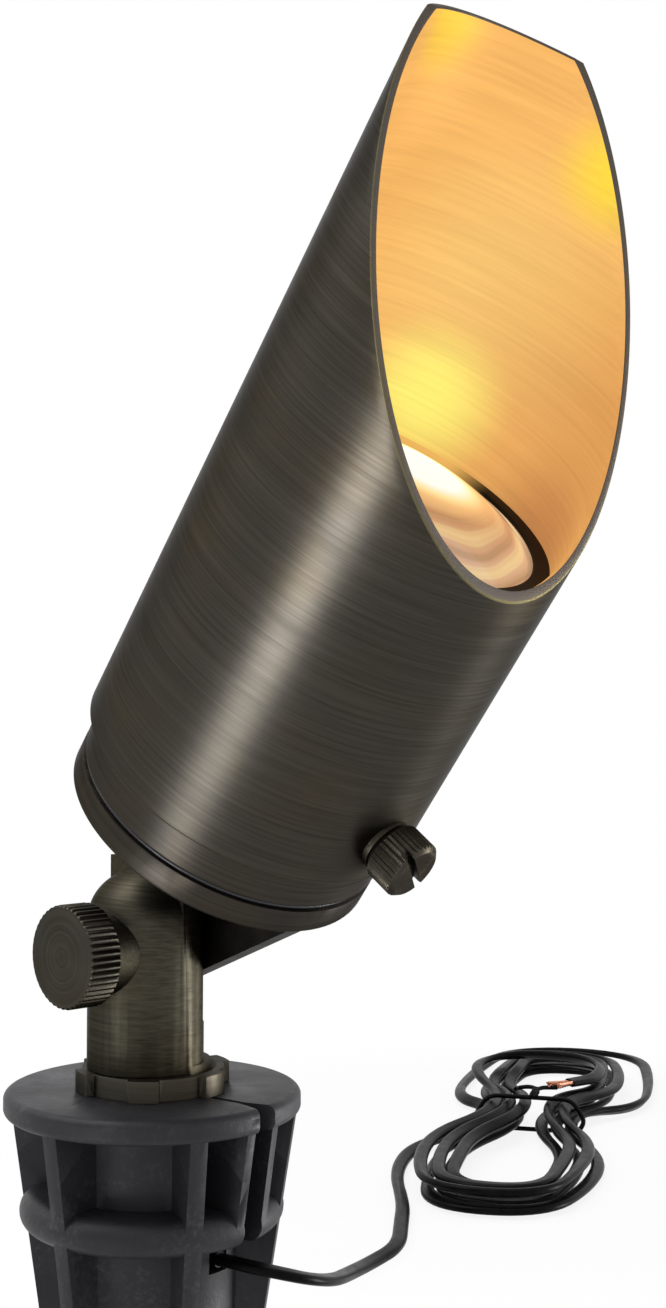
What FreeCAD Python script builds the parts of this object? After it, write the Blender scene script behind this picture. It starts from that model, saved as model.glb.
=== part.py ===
"""Garden spike spotlight: a brass lamp head with a sliding glare shroud, on a knuckle and a ground stake.

Millimetres, +Z up. The origin is on the stake's axis at the soil line, the head leans towards +X, and the
tilt knob is on the -Y side. The head is drawn upright about its tilt pivot, and then leaned over.
"""
import FreeCAD, Part
import math
import os

Vector = FreeCAD.Vector
X_AXIS = Vector(1, 0, 0)
Y_AXIS = Vector(0, 1, 0)
Z_AXIS = Vector(0, 0, 1)
ORIGIN = Vector(0, 0, 0)

# ---- fits --------------------------------------------------------------------------------------------
THREAD_GAP = 0.08           # radial play of a thread, drawn as a plain cylinder
SLIDE_GAP = 0.20            # radial play between the shroud and the housing
RUN_GAP = 0.25              # flat running gap between pieces that turn on each other
SEAT_GAP = 0.05             # play of a small piece in its seat

# ---- ground stake, drawn with its top at z = 0 and its wire slot on +X -------------------------------
STAKE_HEIGHT = 42.0         # top of the stake above the soil line
STAKE_TURN = 9.0            # degrees from the head's leaning side to the wire slot
STAKE_LENGTH = 200.0
STAKE_TOP_R = 27.65
STAKE_COLLAR = 4.5          # thickness of the top plate
STAKE_TOP_ROUND = 1.5
STAKE_BODY_R = 26.9         # outside of the ribs just under the top plate
STAKE_TAPER = 0.1515        # how much that radius falls per mm
STAKE_CORE_R = 16.8         # floor of the pockets
STAKE_CORE_TAPER = 0.02
RIB_COUNT = 6
RIB_THICK = 3.2
RIB_FIRST = 30.0            # degrees from the wire slot to the first rib
BEAD_START = 18.6           # depth of the first round band
BEAD_HEIGHT = 6.8
BEAD_PITCH = 33.0
BEAD_COUNT = 2
BEAD_STANDOUT = 0.3
SPIKE_FIN_COUNT = 4
SPIKE_FIN_THICK = 4.2
SPIKE_TIP_R = 1.6
SPIKE_CORE_R = 6.5
SLOT_WIDTH = 4.8            # wire slot down the side of the stake
SLOT_LIP = 1.8              # walls that stand each side of the slot
SLIT_WIDTH = 1.2            # narrow mouth of the slot through the top plate
SLIT_FLARE = 6.0            # how far in from the rim that mouth widens
WIRE_CAVITY_R = 9.0
WIRE_EXIT_DEPTH = 29.0      # depth of the cord's axis where it leaves the stake
SOCKET_DEPTH = 20.0         # depth of the threaded socket

# ---- stem, lock nut and tilt knuckle -----------------------------------------------------------------
NIPPLE_R = 10.67            # half inch pipe thread
NIPPLE_INTO_STAKE = 17.0
NUT_R = 13.2
NUT_LUG_R = 14.6
NUT_HEIGHT = 4.0
NUT_LUG_COUNT = 6
NUT_LUG_WIDTH = 5.8
NUT_TURN = -46.0            # degrees, where one lug points
NUT_MOUTH = 1.2             # countersink of the nut's bore
STEM_R = 10.85
STEM_OFFSET = 1.9           # the barrel stands this far towards the knob from the thread's axis
STEM_BORE_R = 5.5
PIVOT_HEIGHT = 26.15        # tilt pivot above the stake's top
DOME_BASE = 5.5             # where the barrel starts to round over, above the pivot
DOME_HEIGHT = 9.5
EAR_HEIGHT = 16.5           # the flat-topped back of the barrel, above the pivot
EAR_FRONT = -2.0            # Y where that back part starts
LAP_Y = 5.0                 # Y of the flat that the upper knuckle turns on
LAP_BELOW = 14.0            # how far below the pivot that flat reaches
BOSS_R = 7.9
BOSS_REACH = 1.6            # how far the boss stands out of the barrel
PIVOT_SCREW_R = 2.5
KNOB_R = 9.4
KNOB_THICK = 6.5
KNOB_RIDGE_COUNT = 44
KNOB_CHAMFER = 0.5
KNURL_DEPTH = 0.35

# ---- lamp head, drawn upright with the pivot at the origin and the light shining along +Z ------------
HEAD_TILT = 38.0
BLADE_THICK = 4.5
BLADE_HUB_R = 6.8
BLADE_HALF_ANGLE = 29.5
CAP_R = 28.5                # housing and rear cap share this outside radius
CAP_BOTTOM = 31.0
CAP_RIM = 5.0
CAP_FLOOR = 3.2
CAP_ROUND = 0.8
CAP_SKIN = 0.5              # how far the blade and the spigot run into the cap's floor
SPIGOT_HEIGHT = 7.0
SPIGOT_WALL = 2.6
HOUSING_GAP = 1.0           # groove that shows the seal between cap and housing
HOUSING_WALL = 2.3
HOUSING_TOP = 97.0
HOUSING_CHAMFER = 0.3
SEAL_SECTION_R = 0.47
WIRE_CHANNEL_R = 1.5
CHANNEL_START = 5.0         # along the blade from the pivot to where the leads enter it
GROMMET_R = 3.2
GROMMET_HEIGHT = 2.4
GROMMET_STEP = 0.8          # how much slimmer the plug is than its head
GROMMET_SEAT = 1.0          # how deep the plug sits in the cap's floor

SHROUD_WALL = 1.8
SHROUD_BOTTOM = 43.95
SHROUD_TIP = 171.2
CUT_AT_AXIS = 140.8         # where the slanting cut crosses the axis
CUT_SLOPE = 1.25            # how much it falls per mm across
SHROUD_CHAMFER = 0.5
RING_FROM_BOTTOM = 16.0     # friction ring above the shroud's lower rim
RING_GROOVE_DEPTH = 0.8
RING_GROOVE_WIDTH = 1.9
SCREW_FROM_BOTTOM = 8.6     # shroud screw above the lower rim
SCREW_ANGLE = 8.0           # degrees round the head from its lower side to the screw
SCREW_R = 2.5
SCREW_HEAD_R = 5.5
SCREW_HEAD_HEIGHT = 6.6
SCREW_RIDGE_COUNT = 36
SCREW_SLOT_WIDTH = 1.3
SCREW_SLOT_DEPTH = 1.9
SCREW_SLOT_TURN = 45.0      # degrees from the head's axis to the slot
BUSHING_R = 3.7
BUSHING_FLANGE_R = 4.9
BUSHING_FLANGE = 0.7

LENS_R = 26.4
LENS_EDGE = 3.0
LENS_SEAT = 1.0             # gasket thickness under the lens
LENS_CROWN = 6.0            # rise of the dome above its edge
LENS_WALL = 3.2
LENS_SHOWN_R = 25.3
LENS_BACK_INSET = 2.0
GASKET_LIP = 0.8
GASKET_EDGE = 0.4
GASKET_INSIDE = 1.5         # how far the gasket reaches inside the housing's bore
GASKET_INSET = 0.2          # how far it stays inside the housing's outside

LAMP_FRONT_R = 25.0
LAMP_FRONT = 94.5
LAMP_GLASS = 1.4
REFLECTOR_DEPTH = 31.0
REFLECTOR_NECK_R = 8.0
REFLECTOR_WALL = 1.3
BELLY_UP = 0.42             # where the bowl's curve is set, as a share of its depth
BELLY_OUT = 0.72            # and how far out it is there, as a share of its growth
REFLECTOR_BORE_GAP = 0.3
CAPSULE_R = 4.5
CAPSULE_HEIGHT = 15.0
LAMP_BASE_X = 17.0
LAMP_BASE_Y = 12.0
LAMP_BASE_Z = 10.5
LAMP_BASE_ROUND = 2.5
PIN_R = 0.75
PIN_SPACING = 5.3
PIN_LENGTH = 6.5
SOCKET_X = 19.0
SOCKET_Y = 10.0
SOCKET_Z = 8.0
SOCKET_ROUND = 2.0
STRAP = 1.2
STRAP_WIDTH = 10.0
STRAP_TAB = 7.0
STRAP_LEAD_HOLE_R = 2.6
SMALL_SCREW_R = 1.5
SMALL_HEAD_R = 2.7
SMALL_HEAD = 1.6
SMALL_SCREW_LENGTH = 4.0
SMALL_SLOT = 0.8            # width and depth of the slot in a small screw
SMALL_HEAD_EDGE = 0.4       # room from a small screw's head to the socket's end
LEAD_R = 0.8
LEAD_SIDE = 1.1             # each lead from the middle between the two
LEAD_KNEE = 1.5             # straight stretch of a lead at each bend

# ---- cord --------------------------------------------------------------------------------------------
CORD_D = 3.0                # round equal of the flat twin lead
CORD_LAYER = 3.6            # rise from one layer of the hank to the next
HANK_WAIST_X = -38.0
HANK_WAIST_Y = 156.5
HANK_DIRECTION = 122.0      # degrees, from the near end to the far end
HANK_TIP = 66.0             # half length of the innermost turn
HANK_TIP_STEP = 5.0
HANK_LOBE = 9.0             # half width of the innermost turn at its ends
HANK_LOBE_STEP = 4.6
HANK_WAIST = 0.6            # half width of the innermost turn at the tie
HANK_WAIST_STEP = 3.8
LOOSE_REACH = 98.0          # half length of the loose outer turn at the far end
LOOSE_LOBE = 26.0
HANK_LOBE_U = 38.0          # along the hank from the tie to a turn's widest place
HANK_TURN_COUNT = 3
HANK_START_U = -94.0        # where the free stretch meets the hank, along and across it
HANK_START_V = 15.5
HANK_START_TURN = 10.0      # degrees from the hank's direction
LAST_RUN = 14.0             # straight run of the free stretch before the hank
FLOOR_GAP = 0.1
EXIT_RUN = 6.0              # straight run of the cord out of the slot
ARC_SHARE = 0.45            # how much of a run the arcs at its two ends take each
INNER_TOP = 11.0            # the cord in the stem starts this far below the pivot
INNER_ELBOW = 8.0           # and turns to the slot from this height above it
INNER_BOW = 0.6
NEAR_ALONG = 4.0            # diameters along the cord within which a stretch is its own neighbour
TIE_D = 1.2
TIE_GAP = 0.2
COPPER_R = 0.6
COPPER_LENGTH = 8.0
COPPER_SPLAY = 1.0
TIE_SHOULDER = 1.0          # how far the tie's widest corners stand out
TIE_FOOT = 0.6              # how far its lowest corners are drawn in
TIE_CROWN = 0.3             # how far its highest corners are drawn in

# ---- worked out from the sizes above -----------------------------------------------------------------
PIVOT = Vector(0, 0, STAKE_HEIGHT + PIVOT_HEIGHT)
CORD_R = CORD_D / 2
NUT_TOP = STAKE_HEIGHT + NUT_HEIGHT
KNOB_BACK_Y = -STEM_OFFSET - STEM_R - BOSS_REACH - RUN_GAP
BLADE_Y = LAP_Y + RUN_GAP
CAP_RIM_TOP = CAP_BOTTOM + CAP_RIM
CAP_FLOOR_TOP = CAP_BOTTOM + CAP_FLOOR
HOUSING_BOTTOM = CAP_RIM_TOP + HOUSING_GAP
HOUSING_BORE_R = CAP_R - HOUSING_WALL
SPIGOT_R = HOUSING_BORE_R - THREAD_GAP
SHROUD_BORE_R = CAP_R + SLIDE_GAP
SHROUD_R = SHROUD_BORE_R + SHROUD_WALL
SCREW_S = SHROUD_BOTTOM + SCREW_FROM_BOTTOM
RING_S = SHROUD_BOTTOM + RING_FROM_BOTTOM
LENS_BOTTOM = HOUSING_TOP + LENS_SEAT
LENS_TOP = LENS_BOTTOM + LENS_EDGE
CHANNEL_Y = BLADE_Y + BLADE_THICK / 2
LAMP_NECK = LAMP_FRONT - REFLECTOR_DEPTH
LAMP_BASE_BOTTOM = LAMP_NECK - LAMP_BASE_Z
SOCKET_TOP = LAMP_BASE_BOTTOM - SEAT_GAP
SOCKET_BOTTOM = SOCKET_TOP - SOCKET_Z
STRAP_TOP = SOCKET_BOTTOM - SEAT_GAP
FLOOR_Z = CORD_R + FLOOR_GAP
WAIST_LIFT = TIE_D + TIE_GAP
TIE_ROOM = CORD_R + TIE_GAP + TIE_D / 2


# ---- small drawing helpers ---------------------------------------------------------------------------
def rod(radius, start, end):
    """A round bar between two points."""
    along = end - start
    return Part.makeCylinder(radius, along.Length, start, along)


def pipe(outer, inner, low, high):
    """A tube on the Z axis."""
    wall = Part.makeCylinder(outer, high - low, Vector(0, 0, low))
    return wall.cut(Part.makeCylinder(inner, high - low, Vector(0, 0, low)))


def block(x_low, x_high, y_low, y_high, z_low, z_high):
    return Part.makeBox(x_high - x_low, y_high - y_low, z_high - z_low, Vector(x_low, y_low, z_low))


def revolved(edges):
    """Turns a closed outline of edges in the XZ plane about the Z axis."""
    face = Part.Face(Part.Wire(edges))
    return face.revolve(ORIGIN, Z_AXIS, 360)


def polyline(points):
    """Straight edges through (radius, height) pairs in the XZ plane."""
    corners = [Vector(r, 0, z) for r, z in points]
    return [Part.LineSegment(a, b).toShape() for a, b in zip(corners, corners[1:])]


def ring_of(shape, count, first_angle=0.0):
    """Copies of a shape spread evenly round the Z axis."""
    copies = []
    for index in range(count):
        copy = shape.copy()
        copy.rotate(ORIGIN, Z_AXIS, first_angle + 360.0 * index / count)
        copies.append(copy)
    return copies


def fused(shapes):
    whole = shapes[0].multiFuse(shapes[1:]) if len(shapes) > 1 else shapes[0]
    return whole.removeSplitter()


def knurled_disc(radius, height, ridges, chamfer):
    """A knurled head on the Z axis, from z = 0 upwards, with both rims chamfered."""
    points = []
    for index in range(2 * ridges):
        angle = math.pi * index / ridges
        reach = radius if index % 2 == 0 else radius - KNURL_DEPTH
        points.append(Vector(reach * math.cos(angle), reach * math.sin(angle), 0))
    points.append(points[0])
    star = Part.Face(Part.makePolygon(points)).extrude(Vector(0, 0, height))
    inner = radius - KNURL_DEPTH - chamfer
    beyond = radius + 0.01
    slope = chamfer + KNURL_DEPTH
    outline = [(0, 0), (inner, 0), (beyond, slope), (beyond, height - slope), (inner, height), (0, height)]
    outline.append(outline[0])
    return star.common(revolved(polyline(outline)))


def leaned(shape):
    """Moves a piece of the upright head to its place on the pivot."""
    shape.rotate(ORIGIN, Y_AXIS, HEAD_TILT)
    shape.translate(PIVOT)
    return shape


# ---- ground stake ------------------------------------------------------------------------------------
def stake_outside(depth):
    """Radius of the ribs' outer edges at a depth under the top."""
    return STAKE_BODY_R - STAKE_TAPER * (depth - STAKE_COLLAR)


def stake_core(depth):
    """Radius of the pockets' floor at a depth under the top."""
    return STAKE_CORE_R - STAKE_CORE_TAPER * (depth - STAKE_COLLAR)


def top_plate():
    plate = Part.makeCylinder(STAKE_TOP_R, STAKE_COLLAR, Vector(0, 0, -STAKE_COLLAR))
    rims = [e for e in plate.Edges if isinstance(e.Curve, Part.Circle)]
    return plate.makeFillet(STAKE_TOP_ROUND, rims)


def bead(start):
    """A round band between the ribs, whose outside is a half circle."""
    middle = start + BEAD_HEIGHT / 2
    outside = stake_outside(middle) + BEAD_STANDOUT
    bend = outside - BEAD_HEIGHT / 2
    inside = stake_core(middle) - 1.0
    top = Vector(bend, 0, -start)
    bottom = Vector(bend, 0, -start - BEAD_HEIGHT)
    round_edge = Part.Arc(top, Vector(outside, 0, -middle), bottom).toShape()
    end = start + BEAD_HEIGHT
    rest = polyline([(bend, -end), (inside, -end), (inside, -start), (bend, -start)])
    return revolved([round_edge] + rest)


def slot_flare():
    """The wedge that opens the slit towards the rim of the top plate."""
    inner = STAKE_TOP_R - SLIT_FLARE
    outer = STAKE_TOP_R + 1
    points = [Vector(inner, -SLIT_WIDTH / 2, 1), Vector(outer, -SLOT_WIDTH / 2, 1),
              Vector(outer, SLOT_WIDTH / 2, 1), Vector(inner, SLIT_WIDTH / 2, 1)]
    face = Part.Face(Part.makePolygon(points + points[:1]))
    return face.extrude(Vector(0, 0, -STAKE_COLLAR - 2))


def make_stake():
    sleeve_end = BEAD_START + BEAD_PITCH * (BEAD_COUNT - 1) + BEAD_HEIGHT
    foot = Vector(0, 0, -sleeve_end)
    envelope = Part.makeCone(stake_outside(sleeve_end), stake_outside(0), sleeve_end, foot)
    core = Part.makeCone(stake_core(sleeve_end), stake_core(0), sleeve_end, foot)
    rib = block(0, STAKE_TOP_R, -RIB_THICK / 2, RIB_THICK / 2, -sleeve_end, -1)
    lip = block(STAKE_CORE_R - 2, STAKE_TOP_R, SLOT_WIDTH / 2, SLOT_WIDTH / 2 + SLOT_LIP,
                -BEAD_START - BEAD_HEIGHT / 2, -1)
    walls = fused(ring_of(rib, RIB_COUNT, RIB_FIRST) + [lip, lip.mirror(ORIGIN, Y_AXIS)]).common(envelope)
    beads = [bead(BEAD_START + BEAD_PITCH * index) for index in range(BEAD_COUNT)]
    fin_reach = stake_outside(sleeve_end) + BEAD_STANDOUT - BEAD_HEIGHT / 4
    spike_length = STAKE_LENGTH - sleeve_end
    spike_cone = Part.makeCone(SPIKE_TIP_R, fin_reach, spike_length, Vector(0, 0, -STAKE_LENGTH))
    fin = block(-STAKE_TOP_R, STAKE_TOP_R, -SPIKE_FIN_THICK / 2, SPIKE_FIN_THICK / 2,
                -STAKE_LENGTH, -sleeve_end + 1)
    fins = fused(ring_of(fin, SPIKE_FIN_COUNT // 2, RIB_FIRST)).common(spike_cone)
    spine = Part.makeCone(SPIKE_TIP_R, SPIKE_CORE_R, spike_length, Vector(0, 0, -STAKE_LENGTH))
    solid = fused([top_plate(), core, walls, fins, spine] + beads)

    exit_bottom = WIRE_EXIT_DEPTH + SLOT_WIDTH / 2
    socket = Part.makeCylinder(NIPPLE_R + THREAD_GAP, SOCKET_DEPTH + 1, Vector(0, 0, -SOCKET_DEPTH))
    cavity = Part.makeCylinder(WIRE_CAVITY_R, exit_bottom, Vector(0, 0, -exit_bottom))
    slot = block(0, STAKE_TOP_R + 1, -SLOT_WIDTH / 2, SLOT_WIDTH / 2, -exit_bottom, -STAKE_COLLAR)
    slit = block(0, STAKE_TOP_R + 1, -SLIT_WIDTH / 2, SLIT_WIDTH / 2, -STAKE_COLLAR - 1, 1)
    stake = solid.cut(socket.multiFuse([cavity, slot, slit, slot_flare()]))
    stake.rotate(ORIGIN, Z_AXIS, STAKE_TURN)
    stake.translate(Vector(0, 0, STAKE_HEIGHT))
    return stake


# ---- lock nut, stem and knob -------------------------------------------------------------------------
def make_lock_nut():
    low = STAKE_HEIGHT
    body = Part.makeCylinder(NUT_R, NUT_HEIGHT, Vector(0, 0, low))
    lug = block(0, NUT_LUG_R, -NUT_LUG_WIDTH / 2, NUT_LUG_WIDTH / 2, low, low + NUT_HEIGHT)
    nut = fused([body] + ring_of(lug, NUT_LUG_COUNT, NUT_TURN))
    nut = nut.common(Part.makeCylinder(NUT_LUG_R, NUT_HEIGHT, Vector(0, 0, low)))
    bore = Part.makeCylinder(NIPPLE_R + THREAD_GAP, NUT_HEIGHT, Vector(0, 0, low))
    mouth_low = Vector(0, 0, low + NUT_HEIGHT - NUT_MOUTH)
    mouth = Part.makeCone(NIPPLE_R, NIPPLE_R + NUT_MOUTH, NUT_MOUTH, mouth_low)
    return nut.cut(bore.fuse(mouth))


def stem_dome():
    """The rounded front top of the barrel: a ball flattened or drawn out to the dome's height."""
    ball = Part.makeSphere(STEM_R, ORIGIN, Z_AXIS, 0, 90, 360)
    matrix = FreeCAD.Matrix()
    matrix.scale(1.0, 1.0, DOME_HEIGHT / STEM_R)
    dome = ball.transformGeometry(matrix)
    dome.translate(Vector(0, -STEM_OFFSET, PIVOT.z + DOME_BASE))
    return dome


def make_stem():
    barrel_low = NUT_TOP + RUN_GAP
    axis_foot = Vector(0, -STEM_OFFSET, barrel_low)
    nipple = rod(NIPPLE_R, Vector(0, 0, STAKE_HEIGHT - NIPPLE_INTO_STAKE), Vector(0, 0, barrel_low + 1))
    barrel = rod(STEM_R, axis_foot, Vector(0, -STEM_OFFSET, PIVOT.z + DOME_BASE))
    upright = rod(STEM_R, axis_foot, Vector(0, -STEM_OFFSET, PIVOT.z + EAR_HEIGHT))
    back = block(-STEM_R, STEM_R, EAR_FRONT, STEM_R, PIVOT.z, PIVOT.z + EAR_HEIGHT)
    boss_face = KNOB_BACK_Y + RUN_GAP
    boss = rod(BOSS_R, Vector(0, -STEM_OFFSET, PIVOT.z), Vector(0, boss_face, PIVOT.z))
    stem = fused([nipple, barrel, stem_dome(), upright.common(back), boss])

    wide = 2 * STEM_R
    beyond_lap = block(-wide, wide, LAP_Y, wide, PIVOT.z - LAP_BELOW, PIVOT.z + wide)
    wire_bore = rod(STEM_BORE_R, Vector(0, 0, STAKE_HEIGHT - NIPPLE_INTO_STAKE), PIVOT)
    chamber = rod(STEM_BORE_R + 1, Vector(0, -STEM_BORE_R, PIVOT.z), Vector(0, LAP_Y, PIVOT.z))
    pivot_hole = rod(PIVOT_SCREW_R + THREAD_GAP, Vector(0, -wide, PIVOT.z), Vector(0, LAP_Y, PIVOT.z))
    return stem.cut(beyond_lap.multiFuse([wire_bore, chamber, pivot_hole]))


def make_tilt_knob():
    head = knurled_disc(KNOB_R, KNOB_THICK, KNOB_RIDGE_COUNT, KNOB_CHAMFER)
    shank_length = BLADE_Y + BLADE_THICK - KNOB_BACK_Y
    shank = Part.makeCylinder(PIVOT_SCREW_R, shank_length, Vector(0, 0, -shank_length))
    knob = fused([head, shank])
    knob.rotate(ORIGIN, X_AXIS, 90)
    knob.translate(Vector(0, KNOB_BACK_Y, PIVOT.z))
    return knob


# ---- rear cap with the upper knuckle, and its seals --------------------------------------------------
def blade_outline():
    """The fan of the upper knuckle: a hub circle with two straight sides running out to the cap."""
    lean = math.radians(BLADE_HALF_ANGLE)
    touch = Vector(BLADE_HUB_R * math.cos(lean), 0, -BLADE_HUB_R * math.sin(lean))
    top = CAP_BOTTOM + CAP_SKIN
    reach = touch.x + (top - touch.z) * math.tan(lean)
    hub = Part.Arc(Vector(-touch.x, 0, touch.z), Vector(0, 0, -BLADE_HUB_R), touch).toShape()
    sides = polyline([(touch.x, touch.z), (reach, top), (-reach, top), (-touch.x, touch.z)])
    return Part.Face(Part.Wire([hub] + sides))


def make_rear_cap():
    disc = Part.makeCylinder(CAP_R, CAP_RIM, Vector(0, 0, CAP_BOTTOM))
    rims = [e for e in disc.Edges if isinstance(e.Curve, Part.Circle)]
    rear_rim = [e for e in rims if e.Curve.Center.z < CAP_BOTTOM + 1]
    disc = disc.makeFillet(CAP_ROUND, rear_rim)
    deep = CAP_RIM + SPIGOT_HEIGHT
    spigot = Part.makeCylinder(SPIGOT_R, deep, Vector(0, 0, CAP_BOTTOM + CAP_SKIN))
    hollow = Part.makeCylinder(SPIGOT_R - SPIGOT_WALL, deep, Vector(0, 0, CAP_FLOOR_TOP))
    fan = blade_outline().extrude(Vector(0, BLADE_THICK, 0))
    fan.translate(Vector(0, BLADE_Y, 0))
    fan = fan.common(Part.makeCylinder(CAP_R, 2 * CAP_BOTTOM, Vector(0, 0, -BLADE_HUB_R - 1)))
    cap = fused([disc, spigot]).cut(hollow)
    cap = fused([cap, fan])

    pivot_thread = rod(PIVOT_SCREW_R + THREAD_GAP, ORIGIN, Vector(0, 2 * BLADE_Y + BLADE_THICK, 0))
    in_blade = Vector(0, CHANNEL_Y, CHANNEL_START)
    above_floor = Vector(0, CHANNEL_Y, CAP_FLOOR_TOP + 1)
    channel = rod(WIRE_CHANNEL_R, in_blade, above_floor)
    channel_mouth = rod(WIRE_CHANNEL_R, Vector(0, 0, CHANNEL_START), in_blade)
    seat_low = Vector(0, CHANNEL_Y, CAP_FLOOR_TOP - GROMMET_SEAT)
    grommet_seat = rod(GROMMET_R - GROMMET_STEP, seat_low, above_floor)
    hole_low = CAP_FLOOR_TOP - SMALL_SCREW_LENGTH + STRAP
    holes = [upright_hole(SMALL_SCREW_R, x, hole_low, CAP_FLOOR_TOP + 1) for x in bracket_screw_places()]
    return leaned(cap.cut(pivot_thread.multiFuse([channel, channel_mouth, grommet_seat] + holes)))


def upright_hole(radius, x, low, high):
    """A hole along the head's axis, wider than what goes in it by the seat's play."""
    return rod(radius + SEAT_GAP, Vector(x, 0, low), Vector(x, 0, high))


def make_cap_oring():
    middle = Vector(0, 0, CAP_RIM_TOP + HOUSING_GAP / 2)
    return leaned(Part.makeTorus(CAP_R - 2 * SEAL_SECTION_R, SEAL_SECTION_R, middle))


def make_wire_grommet():
    """A rubber plug that seals the leads where they come through the cap's floor."""
    foot = Vector(0, CHANNEL_Y, CAP_FLOOR_TOP - GROMMET_SEAT)
    seat = Vector(0, CHANNEL_Y, CAP_FLOOR_TOP + SEAT_GAP)
    plug = rod(GROMMET_R - GROMMET_STEP - SEAT_GAP, foot, seat)
    head = Part.makeCone(GROMMET_R, GROMMET_R - 1, GROMMET_HEIGHT, seat)
    holes = [rod(LEAD_R + SEAT_GAP, foot + side, seat + side + Vector(0, 0, GROMMET_HEIGHT))
             for side in lead_sides()]
    return leaned(plug.fuse(head).cut(holes[0].fuse(holes[1])))


# ---- socket, bracket and lamp ------------------------------------------------------------------------
def bracket_screw_places():
    place = STRAP_TAB / 2 + SOCKET_X / 2 + STRAP
    return (-place, place)


def lead_sides():
    return (Vector(-LEAD_SIDE, 0, 0), Vector(LEAD_SIDE, 0, 0))


def make_socket_bracket():
    """A hat-shaped strap that stands the socket off the cap's floor."""
    half = SOCKET_X / 2
    y = STRAP_WIDTH / 2
    low = CAP_FLOOR_TOP
    roof = block(-half - STRAP, half + STRAP, -y, y, STRAP_TOP - STRAP, STRAP_TOP)
    pieces = [roof]
    for side in (-1, 1):
        leg_in = side * half
        leg_out = side * (half + STRAP)
        tab_out = side * (half + STRAP + STRAP_TAB)
        pieces.append(block(min(leg_in, leg_out), max(leg_in, leg_out), -y, y, low, STRAP_TOP))
        pieces.append(block(min(leg_in, tab_out), max(leg_in, tab_out), -y, y, low, low + STRAP))
    strap = fused(pieces)
    holes = [upright_hole(SMALL_SCREW_R, x, low - 1, low + STRAP + 1) for x in bracket_screw_places()]
    roof_low = STRAP_TOP - STRAP - 1
    holes += [upright_hole(SMALL_SCREW_R, x, roof_low, STRAP_TOP + 1) for x in socket_screw_places()]
    holes.append(rod(STRAP_LEAD_HOLE_R, Vector(0, 0, roof_low), Vector(0, 0, STRAP_TOP + 1)))
    return leaned(strap.cut(holes[0].multiFuse(holes[1:])))


def socket_screw_places():
    place = SOCKET_X / 2 - SMALL_HEAD_R - SMALL_HEAD_EDGE
    return (-place, place)


def small_screw(x, head_low, downwards):
    """A round-headed screw; its head's flat side is at head_low."""
    way = -1 if downwards else 1
    seat = Vector(x, 0, head_low)
    crown = Vector(x, 0, head_low - way * SMALL_HEAD)
    head = rod(SMALL_HEAD_R, seat, crown)
    shank = rod(SMALL_SCREW_R, seat, seat + Vector(0, 0, way * (SMALL_SCREW_LENGTH - SEAT_GAP)))
    slot_low = min(crown.z, crown.z + way * SMALL_SLOT)
    half = SMALL_SLOT / 2
    slot = block(x - SMALL_HEAD_R, x + SMALL_HEAD_R, -half, half, slot_low, slot_low + SMALL_SLOT)
    return head.fuse(shank).removeSplitter().cut(slot)


def make_bracket_screws():
    screws = [small_screw(x, CAP_FLOOR_TOP + STRAP + SEAT_GAP, True) for x in bracket_screw_places()]
    return leaned(Part.makeCompound(screws))


def make_socket_screws():
    screws = [small_screw(x, STRAP_TOP - STRAP - SEAT_GAP, False) for x in socket_screw_places()]
    return leaned(Part.makeCompound(screws))


def make_lamp_socket():
    half_x = SOCKET_X / 2
    half_y = SOCKET_Y / 2
    body = block(-half_x, half_x, -half_y, half_y, SOCKET_BOTTOM, SOCKET_TOP)
    uprights = [e for e in body.Edges if abs(e.tangentAt(e.FirstParameter).z) > 0.9]
    body = body.makeFillet(SOCKET_ROUND, uprights)
    pin_low = SOCKET_TOP - PIN_LENGTH - 0.2
    screw_top = SOCKET_BOTTOM + SMALL_SCREW_LENGTH - STRAP
    holes = [upright_hole(PIN_R, x, pin_low, SOCKET_TOP + 1) for x in (-PIN_SPACING / 2, PIN_SPACING / 2)]
    holes += [upright_hole(SMALL_SCREW_R, x, SOCKET_BOTTOM - 1, screw_top) for x in socket_screw_places()]
    holes += [upright_hole(LEAD_R, side.x, SOCKET_BOTTOM - 1, SOCKET_BOTTOM + 1) for side in lead_sides()]
    return leaned(body.cut(holes[0].multiFuse(holes[1:])))


def make_socket_leads():
    """Two insulated leads from the grommet up into the socket."""
    leads = []
    for side in lead_sides():
        foot = side + Vector(0, CHANNEL_Y, CAP_FLOOR_TOP)
        knee = side + Vector(0, CHANNEL_Y, CAP_FLOOR_TOP + GROMMET_HEIGHT + LEAD_KNEE)
        top = side + Vector(0, 0, SOCKET_BOTTOM + 1)
        bend = side + Vector(0, 0, STRAP_TOP - STRAP - LEAD_KNEE)
        pieces = [rod(LEAD_R, foot, knee), rod(LEAD_R, knee, bend), rod(LEAD_R, bend, top)]
        pieces += [Part.makeSphere(LEAD_R, knee), Part.makeSphere(LEAD_R, bend)]
        leads.append(fused(pieces))
    return leaned(Part.makeCompound(leads))


def make_lamp_pins():
    pins = []
    for x in (-PIN_SPACING / 2, PIN_SPACING / 2):
        pins.append(rod(PIN_R, Vector(x, 0, LAMP_BASE_BOTTOM - PIN_LENGTH), Vector(x, 0, LAMP_BASE_BOTTOM)))
    return leaned(Part.makeCompound(pins))


def make_lamp_base():
    x = LAMP_BASE_X / 2
    y = LAMP_BASE_Y / 2
    body = block(-x, x, -y, y, LAMP_BASE_BOTTOM, LAMP_NECK)
    uprights = [e for e in body.Edges if abs(e.tangentAt(e.FirstParameter).z) > 0.9]
    return leaned(body.makeFillet(LAMP_BASE_ROUND, uprights))


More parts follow.
